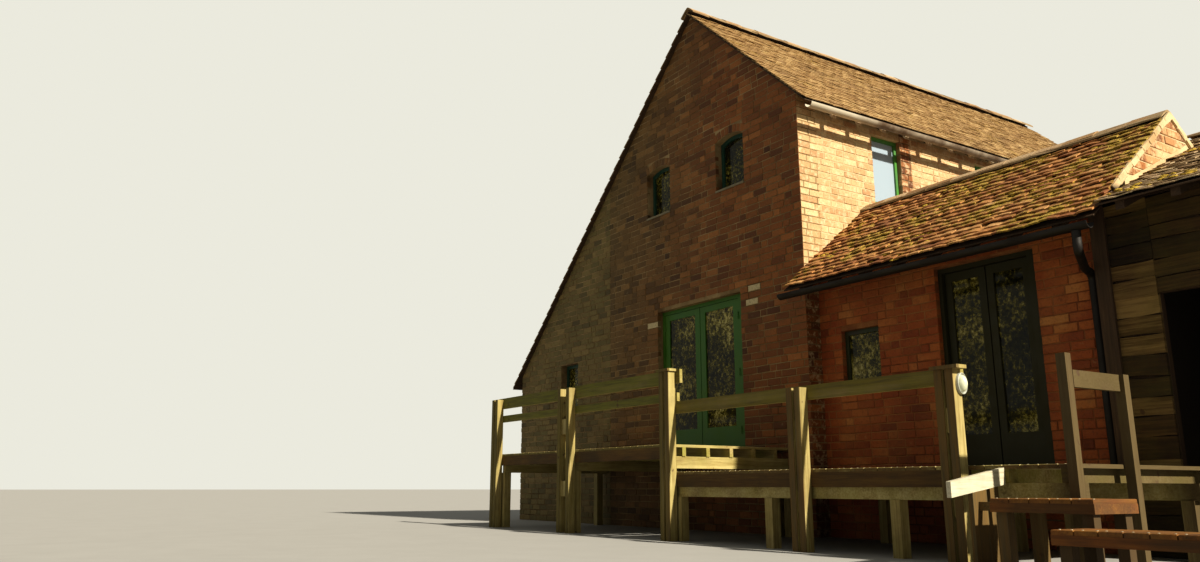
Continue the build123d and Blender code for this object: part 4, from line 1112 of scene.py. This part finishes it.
main_rise = math.tan(main_pitch)
east_foot = (east_eave, 0, ridge_height - main_rise * (east_eave - ridge_x))
west_foot = (west_eave, 0, ridge_height - main_rise * (ridge_x - west_eave))
east_slope = slope(east_foot, (0, 1, 0), main_pitch, (-1, 0))
west_slope = slope(west_foot, (0, -1, 0), main_pitch, (1, 0))
east_run = (east_eave - ridge_x) / math.cos(main_pitch)
west_run = (ridge_x - west_eave) / math.cos(main_pitch)
for name, side, run, ends, node in (
    ("barn_tiles_east", east_slope, east_run, (-verge, barn_length + verge), "roof_east"),
    ("barn_tiles_west", west_slope, west_run, (-barn_length - verge, verge), "roof_west"),
):
    lay_tiles(name, side, run, lambda distance: ends, barn_tile, "tile_barn", node, wild=1.7)

# %% [markdown]
# ## The low roofs
# The wing's roof and the outbuilding's meet in a step. So the edge of a course moves by a third of a
# metre where the course passes the step, and a small function gives each slope's two edges at any
# distance up it.

# %% Tiles of the low roofs
wing_low = wing_ridge_height - math.tan(wing_pitch) * wing_overhang
wing_run = wing_overhang / math.cos(wing_pitch)
shed_low = shed_ridge_height - math.tan(shed_pitch) * shed_half
shed_run = shed_half / math.cos(shed_pitch)
wing_south = slope((0, wing_ridge_y - wing_overhang, wing_low), (1, 0, 0), wing_pitch, (0, 1))
wing_north = slope((0, wing_ridge_y + wing_overhang, wing_low), (-1, 0, 0), wing_pitch, (0, -1))
shed_south = slope((0, shed_ridge_y - shed_half, shed_low), (1, 0, 0), shed_pitch, (0, 1))
shed_north = slope((0, shed_ridge_y + shed_half, shed_low), (-1, 0, 0), shed_pitch, (0, -1))


def wing_south_ends(distance):
    return (0.002, wing_roof_end)


def wing_north_ends(distance):
    y = wing_ridge_y + wing_overhang - distance * math.cos(wing_pitch)
    return (-wing_length if y > roof_step_y - 0.1 else -wing_roof_end, -0.002)


def shed_south_ends(distance):
    y = shed_ridge_y - shed_half + distance * math.cos(shed_pitch)
    return (wing_length if y > roof_step_y - 0.05 else wing_roof_end, shed_roof_east)


def shed_north_ends(distance):
    return (-shed_roof_east, -wing_length)


low_roofs = (
    ("wing", "front", wing_south, wing_run, wing_south_ends, low_tile, thick_tile),
    ("wing", "rear", wing_north, wing_run, wing_north_ends, low_tile, thick_tile),
    ("outbuilding", "front", shed_south, shed_run, shed_south_ends, shed_tile, even_tile),
    ("outbuilding", "rear", shed_north, shed_run, shed_north_ends, shed_tile, even_tile),
)
for house, half, side, run, ends, material, pattern in low_roofs:
    node = f"{house}_roof_{half}"
    lay_tiles(f"{house}_tiles_{half}", side, run, ends, material, "tile_low", node, pattern, 2.9)

# %% [markdown]
# ## A cushion of moss
# Old tiles carry moss in round cushions that hold on at the lower edges. A ball cut in half and
# flattened is one cushion. Its finish is the green of the tiles' moss with a deep fine bump.

# %% One cushion and its finish
cushion_greens = [(0.2, (0.12, 0.072, 0.008)), (0.5, (0.33, 0.215, 0.020)), (0.8, (0.56, 0.39, 0.06))]
let_go()
bpy.ops.mesh.primitive_ico_sphere_add(subdivisions=2, radius=0.5)
cushion = begin("cushion")
bpy.ops.mesh.bisect(plane_co=(0, 0, -0.05), plane_no=(0, 0, 1), clear_inner=True, use_fill=True)
bpy.ops.mesh.select_all(action="SELECT")
bpy.ops.mesh.quads_convert_to_tris()
stop_editing()
cushion_points, cushion_faces = take_apart(cushion)


def moss_finish():
    look = Finish("moss")
    tuft = look.noise(120, 4, 0.7)
    own = look.ramp(look.tone() * 0.5 + tuft * 0.5, cushion_greens)
    return look.surface(own, 0.95, tuft + look.noise(45, 3, 0.6), 0.008)


moss = moss_finish()
print("cushion faces", len(cushion_faces))

# %% [markdown]
# ## Where moss grows
# Cushions are tried at random places and kept where a soft random field is high, so they gather as
# real moss does. On the wing's front they are thickest near the top and towards the east end. Each
# one is moved to the lower edge of its tile course.

# %% Moss on the low roofs
moss_drawn = np.random.default_rng(19)


def grow_moss(name, side, length, ends, tries, lean, threshold):
    """Cushions on a slope. lean(u, v) says how well moss does at a place."""
    kept = []
    for _ in range(tries):
        v = moss_drawn.uniform(0.03, length - 0.1)
        left, right = ends(v)
        u = moss_drawn.uniform(left + 0.05, right - 0.05)
        draw = moss_drawn.uniform(0, 1)
        field = noise.noise(Vector((u * 1.4, v * 2.2, 0.3))) + 0.5 * noise.noise(Vector((u * 5, v * 7, 2.0)))
        if field + lean(u, v) + draw * 0.5 > threshold:
            kept.append((u, round(v / gauge) * gauge + 0.02 + moss_drawn.normal(0, 0.012), draw))
    kept = np.array(kept)
    count = len(kept)
    wide = moss_drawn.uniform(0.03, 0.085, count) * (0.7 + 0.5 * kept[:, 2])
    deep = wide * moss_drawn.uniform(0.35, 0.7, count)
    high = moss_drawn.uniform(0.012, 0.030, count)
    lumps = 1 + moss_drawn.normal(0, 0.10, (count, len(cushion_points)))
    u = kept[:, :1] + cushion_points[None, :, 0] * wide[:, None] * lumps
    v = kept[:, 1:2] + cushion_points[None, :, 1] * deep[:, None] * lumps
    w = cushion_points[None, :, 2] * high[:, None] * lumps - 0.002
    left, right = zip(*(ends(height) for height in kept[:, 1]))
    u = np.clip(u, np.array(left)[:, None], np.array(right)[:, None])
    v = np.clip(v, 0.002, length - 0.02)
    mesh_from(name, side.points(u, v, w), cushion_faces, kept[:, 2], moss, "tile_low")


moss_growth = (
    (3400, lambda u, v: (u - 2.2) * 0.10 + (v - 1.1) * 0.12, 0.50),
    (2600, lambda u, v: 0.0, 0.55),
    (1600, lambda u, v: 0.0, 0.66),
    (1600, lambda u, v: 0.0, 0.62),
)
for (house, half, side, run, ends, *_), growth in zip(low_roofs, moss_growth):
    grow_moss(f"moss_{house}_{half}", side, run, ends, *growth)

# %% [markdown]
# ## Boarding under the tiles
# From below and at the verges a tiled roof shows the boards that carry it. Modelling every batten
# would show nothing more, so each slope gets a thin sheet, shaped from a cube that is turned to the
# pitch, and a slope with a step gets two.

# %% Sheets under the tiles
def lay_sheet(name, side, left, right, low, run, node):
    piece = start_box(name, (left, low, -cover), (right, run - 0.002, -cover + underlay))
    pick(piece, "edges", lambda edge: True)
    ease(0.003)
    stop_editing()
    turn = Matrix([[*row] for row in np.array([side.right, side.up, side.out]).T]).to_4x4()
    piece.data.transform(Matrix.Translation(side.origin.tolist()) @ turn)
    dress(piece, under_tile, "timber_old", node)


step_up = (wing_ridge_y + wing_overhang - roof_step_y) / math.cos(wing_pitch)
step_down = (roof_step_y - shed_ridge_y + shed_half) / math.cos(shed_pitch)
sheets = (
    ("east", east_slope, -verge, barn_length + verge, 0, east_run, "roof_east"),
    ("west", west_slope, -barn_length - verge, verge, 0, west_run, "roof_west"),
    ("wing_front", wing_south, 0.002, wing_roof_end, 0, wing_run, "wing_roof_front"),
    ("wing_rear", wing_north, -wing_length, -0.002, 0, wing_run, "wing_roof_rear"),
    ("wing_rear_end", wing_north, -wing_roof_end, -wing_length, step_up, wing_run, "wing_roof_rear"),
    ("outbuilding_front", shed_south, wing_roof_end, shed_roof_east, 0, shed_run, "outbuilding_roof_front"),
    (
        "outbuilding_step", shed_south, wing_length, wing_roof_end, step_down, shed_run,
        "outbuilding_roof_front",
    ),
    ("outbuilding_rear", shed_north, -shed_roof_east, -wing_length, 0, shed_run, "outbuilding_roof_rear"),
)
for name, *rest in sheets:
    lay_sheet("boarding_" + name, *rest)
print("sheets", len(sheets))

# %% [markdown]
# ## A ridge tile
# A ridge is closed by bent tiles that sit astride both slopes, bedded in mortar. The bent tile is
# shaped from a flat cube that is cut into strips, and the strips are pushed down to the pitch with a
# round top between. A rougher one of mortar, a little wider, lies under it.

# %% Bent ridge tile
ridge_long, ridge_half, mortar_wider = 0.33, 0.118, 0.022
ridge_cuts, ridge_round = (0.15, 0.35, 0.62), 0.3


def saddle(name, half, thick, pitch, crown):
    """A strip over a ridge that follows both slopes, round at the top. Its crown is above the ridge."""
    piece = start_box(name, (-half, -ridge_long / 2, 0), (half, ridge_long / 2, thick))
    cut_across([share * half for share in (*(-share for share in ridge_cuts), 0, *ridge_cuts)])
    cut_across([0], (0, 1, 0))
    bend = ridge_round * half
    for share in (*ridge_cuts, 1.0):
        away = share * half
        drop = math.tan(pitch) * (math.hypot(away, bend) - bend)
        push(piece, lambda vertex: abs(abs(vertex.co.x) - away) < 1e-4, (0, 0, -drop))
    push(piece, lambda vertex: True, (0, 0, crown - thick))
    stop_editing()
    return Pattern(piece)


print("ridge tile length", ridge_long)

# %% [markdown]
# ## Laying the ridges
# The copies lie end to end with small differences in width, height and tip. The mortar is laid first,
# and its edges are pushed about, as they are where a trowel has passed.

# %% Ridges
ridges_drawn = np.random.default_rng(5)
mortar_rough = 0.0022


def ridge_places(count, start, step, gap, rough, uneven):
    """The four corners of each copy along the ridge."""
    for index in range(count):
        low, high = start + index * step + gap / 2, start + (index + 1) * step - gap / 2
        aside = 0 if rough else ridges_drawn.normal(0, 0.003 * uneven)
        half = ridge_half + (mortar_wider if rough else ridges_drawn.uniform(-0.006, 0.002))
        yield ((aside - half, low), (aside + half, low), (aside + half, high), (aside - half, high))


def lay_ridge(name, start, stop, side, pitch, crown, uneven=1.0):
    """Mortar and ridge tiles from start to stop along a side that lies level at the ridge."""
    count = round((stop - start) / ridge_long)
    step = (stop - start) / count
    under = saddle(name, ridge_half + mortar_wider, 0.022, pitch, crown - 0.011)
    over = saddle(name, ridge_half, 0.017, pitch, crown)
    kinds = ((name + "_mortar", under, 0.0, bedding, mortar_rough), (name, over, 0.009, ridge_clay, 0.0))
    for title, pattern, gap, material, rough in kinds:
        u, v, w = pattern.lay(np.array(list(ridge_places(count, start, step, gap, rough, uneven))))
        if rough:
            u = u + ridges_drawn.normal(0, 0.006, u.shape) * (np.abs(u) > ridge_half)
            w = w + ridges_drawn.normal(0, rough, w.shape)
        else:
            tip = ridges_drawn.normal(0, 0.010 * uneven, (count, 1))
            sunk = np.abs(ridges_drawn.normal(0, 0.0035 * uneven, (count, 1)))
            w = w - sunk + tip * (v - v.mean(axis=1, keepdims=True))
        tones = ridges_drawn.uniform(0, 1, count)
        mesh_from(title, side.points(u, v, w), pattern.faces, tones, material, "tile_ridge", "ridge_tiles")


def northward(x, height):
    return Side((x, 0, height), (1, 0, 0), (0, 1, 0))


def eastward(y, height):
    return Side((0, y, height), (0, -1, 0), (1, 0, 0))


lay_ridge("barn_ridge", -verge, barn_length + verge, northward(ridge_x, ridge_height), main_pitch, 0.052, 2.4)
lay_ridge("wing_ridge", 0.0, wing_roof_end, eastward(wing_ridge_y, wing_ridge_height), wing_pitch, 0.032)
shed_ridge_side = eastward(shed_ridge_y, shed_ridge_height)
lay_ridge("outbuilding_ridge", wing_length, shed_roof_east, shed_ridge_side, shed_pitch, 0.034)

# %% [markdown]
# ## Mortar along the wing's verge
# Where the wing's tiles end above the outbuilding, their ends are closed with a fillet of mortar that
# runs up the slope. A lump of it is a box with worn edges, and its uneven copies make the band.

# %% Verge mortar
lump_long = 0.16
lump = start_box("verge_lump", (-lump_long / 2, -0.04, -0.01), (lump_long / 2, 0.04, 0.022))
pick(lump, "faces", faces_up)
ease(0.008)
stop_editing()
lump_pattern = Pattern(lump)


def lay_verge(name, uphill, first, last):
    """A band of lumps up one slope of the wing's east end. uphill is 1 from the south, -1 from the north."""
    foot = (wing_roof_end, wing_ridge_y - uphill * wing_overhang, wing_low)
    level, rise = math.cos(wing_pitch), math.sin(wing_pitch)
    side = Side(foot, (0, level, uphill * rise), (0, -uphill * rise, level))
    if uphill < 0:
        first, last = -last, -first
    count = round((last - first) / lump_long)
    step = (last - first) / count
    corners = []
    for index in range(count):
        low, high = first + index * step, first + (index + 1) * step
        bottom, top = -0.055 + ridges_drawn.normal(0, 0.006), 0.004 + ridges_drawn.normal(0, 0.003)
        corners.append(((low, bottom), (high, bottom), (high, top), (low, top)))
    u, v, w = lump_pattern.lay(np.array(corners))
    w = w + np.where(w > 0, ridges_drawn.normal(0, 0.004, w.shape), 0)
    v = v + ridges_drawn.normal(0, 0.003, v.shape)
    tones = ridges_drawn.uniform(0, 1, count)
    mesh_from(name, side.points(u, v, w), lump_pattern.faces, tones, party_mortar, "tile_ridge")


lay_verge("verge_mortar_front", 1, 0.45, wing_run - 0.01)
lay_verge("verge_mortar_rear", -1, 1.52, wing_run - 0.01)

# %% [markdown]
# ## Deck boards
# The deck is laid with boards that run from front to back, with gaps for the rain. A board is a cube
# with eased upper edges, and the deck is a row of its copies, each cut to the line of the wall behind.

# %% Boards of the deck and the steps
boards_drawn = np.random.default_rng(12)
board_thick, board_wide, board_gap, board_end_gap = 0.03, 0.146, 0.007, 0.008
plank = start_box("plank", (-0.07, -0.5, -board_thick), (0.07, 0.5, 0))
pick(plank, "edges", lambda edge: all(vertex.co.z > -0.001 for vertex in edge.verts))
ease(0.004)
stop_editing()
plank_pattern = Pattern(plank)


def share_out(left, right):
    """How many boards go side by side between two ends, and how far apart they lie."""
    count = max(round((right - left) / board_wide), 1)
    return count, (right - left) / count


def lay_planks(name, left, right, front, level, back, node, material):
    """Boards side by side along X. back(left, right) gives the rear end of a board."""
    count, step = share_out(left, right)
    corners = []
    for index in range(count):
        a, b = left + index * step + board_gap / 2, left + (index + 1) * step - board_gap / 2
        start = front + abs(boards_drawn.normal(0, 0.0015))
        corners.append(((a, start), (b, start), (b, back(a, b)), (a, back(a, b))))
    u, v, w = plank_pattern.lay(np.array(corners, float))
    w = w - np.abs(boards_drawn.normal(0, 0.0012, (count, 1)))
    tones = boards_drawn.uniform(0, 1, count)
    points = northward(0, level).points(u, v, w)
    mesh_from(name, points, plank_pattern.faces, tones, material, "timber_deck", node)


def lower_deck_back(a, b):
    """The deck's rear edge: barn, wing, corner post, then the outbuilding's boards."""
    if a < 0:
        return -board_end_gap
    if b < 3.339:
        return wing_front - board_end_gap
    return wing_front - 0.13 if a < 3.61 else shed_front - 0.002


platforms = (
    (
        "upper_deck", -4.615, -0.4, deck_front, upper_level, lambda a, b: -board_end_gap,
        "upper_deck_boards", deck_planks,
    ),
    ("lower_deck", -0.4, 4.25, deck_front, lower_level, lower_deck_back, "lower_deck_boards", deck_planks),
    ("upper_step", 3.966, 4.681, -2.4, 0.49, lambda a, b: -1.911, "step_treads", step_planks),
    ("lower_step", 4.6, 5.6, -2.75, 0.32, lambda a, b: -2.37, "step_treads", step_planks),
)
for name, *rest in platforms:
    lay_planks(name + "_planks", *rest)

# %% [markdown]
# ## Nails
# Each board is held by two nails near its front end. A nail's head is a short cylinder with its upper
# edge worn round, modelled once. It is small, but a row of bright dots tells the eye how big a board
# is.

# %% Nail heads
let_go()
bpy.ops.mesh.primitive_cylinder_add(vertices=8, radius=0.007, depth=0.004)
nail = begin("nail")
pick(nail, "faces", faces_up)
ease(0.0012)
pick(nail, "faces", lambda face: len(face.verts) > 4)
bpy.ops.mesh.poke()
bpy.ops.mesh.select_all(action="SELECT")
bpy.ops.mesh.quads_convert_to_tris()
stop_editing()
nail_points, nail_faces = take_apart(nail)
nail_metal = plain_finish(
    "nail_heads", (0.50, 0.44, 0.30), (0.66, 0.60, 0.46), 0.45, 90, 0.0004, Metallic=0.6,
)


def drive_nails(name, left, right, front, level):
    """Two nails on top of each board, near its front end."""
    count, step = share_out(left, right)
    places = []
    for index in range(count):
        for share in (0.22, 0.78):
            x = left + (index + share) * step + boards_drawn.normal(0, 0.004)
            places.append((x, front + 0.045 + boards_drawn.normal(0, 0.004), level))
    heads = np.array(places)[:, None] + nail_points[None]
    tones = boards_drawn.uniform(0, 1, len(heads))
    mesh_from(name, heads, nail_faces, tones, nail_metal, "timber_deck")


for name, left, right, front, level, *_ in platforms:
    drive_nails(name + "_nails", left, right, front, level)

# %% [markdown]
# ## The lamp
# A bulkhead lamp is screwed to the side of the post: an oval back with a raised ring, and a glass
# dome inside it. The back is a cylinder turned on its side and the dome is half a ball, both pressed
# to the same oval.

# %% Lamp
lamp_place = (3.387, -1.812, 1.337)
lamp_wide, lamp_high, back_deep, ring_wide = 0.115, 0.168, 0.026, 0.010
let_go()
bpy.ops.mesh.primitive_cylinder_add(vertices=28, radius=0.5, depth=1)
lamp_back = begin("lamp_back")
bpy.ops.transform.rotate(value=math.pi / 2, orient_axis="Y", center_override=(0, 0, 0))
bpy.ops.transform.resize(value=(back_deep, lamp_wide, lamp_high))
bpy.ops.transform.translate(value=(lamp_place[0] + back_deep / 2, *lamp_place[1:]))
pick(lamp_back, "faces", lambda face: face.normal.x > 0.9)
ease(0.005, 2)
pick(lamp_back, "faces", lambda face: face.normal.x > 0.9 and len(face.verts) > 8)
bpy.ops.mesh.inset(thickness=ring_wide)
bpy.ops.transform.translate(value=(-0.012, 0, 0))
stop_editing()
let_go()
bpy.ops.mesh.primitive_uv_sphere_add(segments=24, ring_count=16, radius=0.5)
lamp_dome = begin("lamp_dome")
bpy.ops.mesh.bisect(plane_co=(0, 0, 0), plane_no=(1, 0, 0), clear_inner=True, use_fill=True)
bpy.ops.mesh.select_all(action="SELECT")
bpy.ops.transform.resize(value=(0.088, lamp_wide - 0.036, lamp_high - 0.036), center_override=(0, 0, 0))
bpy.ops.transform.translate(value=(lamp_place[0] + 0.015, *lamp_place[1:]))
stop_editing()
for piece, material in ((lamp_back, lamp_ring), (lamp_dome, lamp_white)):
    let_go()
    piece.select_set(True)
    bpy.context.view_layer.objects.active = piece
    bpy.ops.object.shade_smooth_by_angle(angle=math.radians(40))
    dress(piece, material, "lamp_white", "deck_lamp")
    print(piece.name, "from", [round(min(v.co[i] for v in piece.data.vertices), 3) for i in range(3)])

# %% [markdown]
# ## The outbuilding's rough boards
# The outbuilding's front is clad with boards sawn straight from the log, so their edges wander and
# gaps open between them. A board is cut across in six places, so that each long copy can get its own
# wavy edge.

# %% Rough boards
cladding = start_box("rough_board", (-0.5, -0.08, 0), (0.5, 0.08, 0.03))
cut_across((-0.36, -0.2, -0.04, 0.12, 0.28, 0.4))
stop_editing()
cladding_pattern = Pattern(cladding)


def board_places(left, right, bottom, top):
    """The four corners of each board, from the bottom to the top of a patch."""
    level = bottom
    while level < top - 0.03:
        high = min(level + boards_drawn.uniform(0.12, 0.19), top)
        if top - high < 0.05:
            high = top
        tilt = boards_drawn.normal(0, 0.004, 4)
        upper = high - boards_drawn.uniform(0.004, 0.014)
        yield (
            (left, level + tilt[0]), (right, level + tilt[1]),
            (right, upper + tilt[2]), (left, upper + tilt[3]),
        )
        level = high


def lay_cladding(name, patches_of_wall, *replaced):
    """Rows of rough boards over the front."""
    corners = np.array([corner for patch in patches_of_wall for corner in board_places(*patch)], float)
    u, v, w = cladding_pattern.lay(corners)
    edge = np.isin(cladding_pattern.share[:, 1], (0, 1))
    own = corners[:, :1, 1]
    waves = 0.006 * np.sin(u * 5.3 + own * 31) + 0.004 * np.sin(u * 13.7 + own * 17)
    v = np.clip(v + np.where(edge[None], waves, 0), 0.0, shed_top)
    w = w + boards_drawn.uniform(-0.006, 0.004, (len(corners), 1)) - 0.03
    tones = boards_drawn.uniform(0, 1, len(corners))
    points = Side((0, shed_front, 0), (1, 0, 0)).points(u, v, w)
    mesh_from(name, points, cladding_pattern.faces, tones, rough_board, "timber_boards", *replaced)


lay_cladding(
    "outbuilding_boards",
    [(3.61, 3.978, 0, shed_top), (5.252, 5.948, 0, shed_top), (3.98, 5.25, 2.172, shed_top)],
    "outbuilding_front_sides", "outbuilding_front_over_door",
)

# %% [markdown]
# ## Behind the rough boards
# Through the gaps between the boards one would see straight into the room. Dark studs and lining
# stand behind them, and one plain sheet with eased edges for each patch is enough, since it is only
# seen as a dark line.

# %% Lining
def lay_backing(name, left, right, bottom, node):
    piece = start_box(name, (left, shed_front + 0.034, bottom), (right, shed_front + 0.1, shed_top))
    pick(piece, "edges", lambda edge: True)
    ease(0.003)
    stop_editing()
    dress(piece, old_upright, "timber_old", node)


lay_backing("lining_west", 3.61, 3.98, 0, "outbuilding_front_sides")
lay_backing("lining_east", 5.25, 5.95, 0, "outbuilding_front_sides")
lay_backing("lining_over_door", 3.98, 5.25, 2.17, "outbuilding_front_over_door")
print("lining laid")

# %% [markdown]
# ## The studio floor
# A plain pale floor carries the building and runs past every view. It isn't part of the object, so it
# is kept apart from the building's body.

# %% Floor
let_go()
bpy.ops.mesh.primitive_plane_add(size=400)
studio_floor = bpy.context.active_object
studio_floor.name = "studio_floor"
studio_floor.data.materials.append(pale_floor)
print("floor laid")

# %% [markdown]
# ## Light
# A soft sun comes from the east, as morning light does, so the east wall is bright and the gable lies
# in shade. A pale sky fills the shade. The camera sees that sky brighter than it lights the scene,
# which keeps the backdrop pale without washing out the shade.

# %% Sun and sky
sun_data = bpy.data.lights.new("low_sun", "SUN")
sun_data.energy = 7.0
sun_data.angle = math.radians(1.5)
sun_data.color = (1.0, 0.92, 0.76)
sun = bpy.data.objects.new("low_sun", sun_data)
bpy.context.scene.collection.objects.link(sun)
sun_height, sun_turn = math.radians(33), math.radians(7)
sideways = math.cos(sun_height)
towards_sun = Vector((sideways * math.cos(sun_turn), sideways * math.sin(sun_turn), math.sin(sun_height)))
sun.rotation_euler = towards_sun.to_track_quat("Z", "Y").to_euler()
world = bpy.data.worlds.new("studio")
world.use_nodes = True
fill = world.node_tree.nodes["Background"]
fill.inputs["Color"].default_value = (0.95, 0.94, 0.84, 1)
rays = world.node_tree.nodes.new("ShaderNodeLightPath")
seen = world.node_tree.nodes.new("ShaderNodeMapRange")
seen.inputs["To Min"].default_value = 0.29
seen.inputs["To Max"].default_value = 0.74
world.node_tree.links.new(rays.outputs["Is Camera Ray"], seen.inputs["Value"])
world.node_tree.links.new(seen.outputs["Result"], fill.inputs["Strength"])
bpy.context.scene.world = world
bpy.context.scene.view_settings.view_transform = "Standard"
bpy.context.scene.view_settings.look = "Medium High Contrast"
print("sun at", round(math.degrees(sun_height)), "degrees")

# %% [markdown]
# ## Camera
# The camera stands low in front of the deck's east end and looks up, as in the photograph. Its place,
# direction and lens were fitted to the building's straight edges, and the small shift and roll are
# what was left over.

# %% Camera
camera_data = bpy.data.cameras.new("photo_camera")
camera_data.sensor_width = 36
camera_data.lens = 28.04
camera_data.shift_y = -0.0094
camera_data.clip_end = 500
camera = bpy.data.objects.new("photo_camera", camera_data)
bpy.context.scene.collection.objects.link(camera)
stand = Vector((7.964, -8.036, 0.557))
ahead = Vector((-0.8203, 0.5249, 0.2266)).normalized()
roll = Matrix.Rotation(math.radians(0.07), 4, "Z")
camera.matrix_world = Matrix.Translation(stand) @ ahead.to_track_quat("-Z", "Y").to_matrix().to_4x4() @ roll
bpy.context.scene.camera = camera
print("camera at", [round(part, 3) for part in stand])
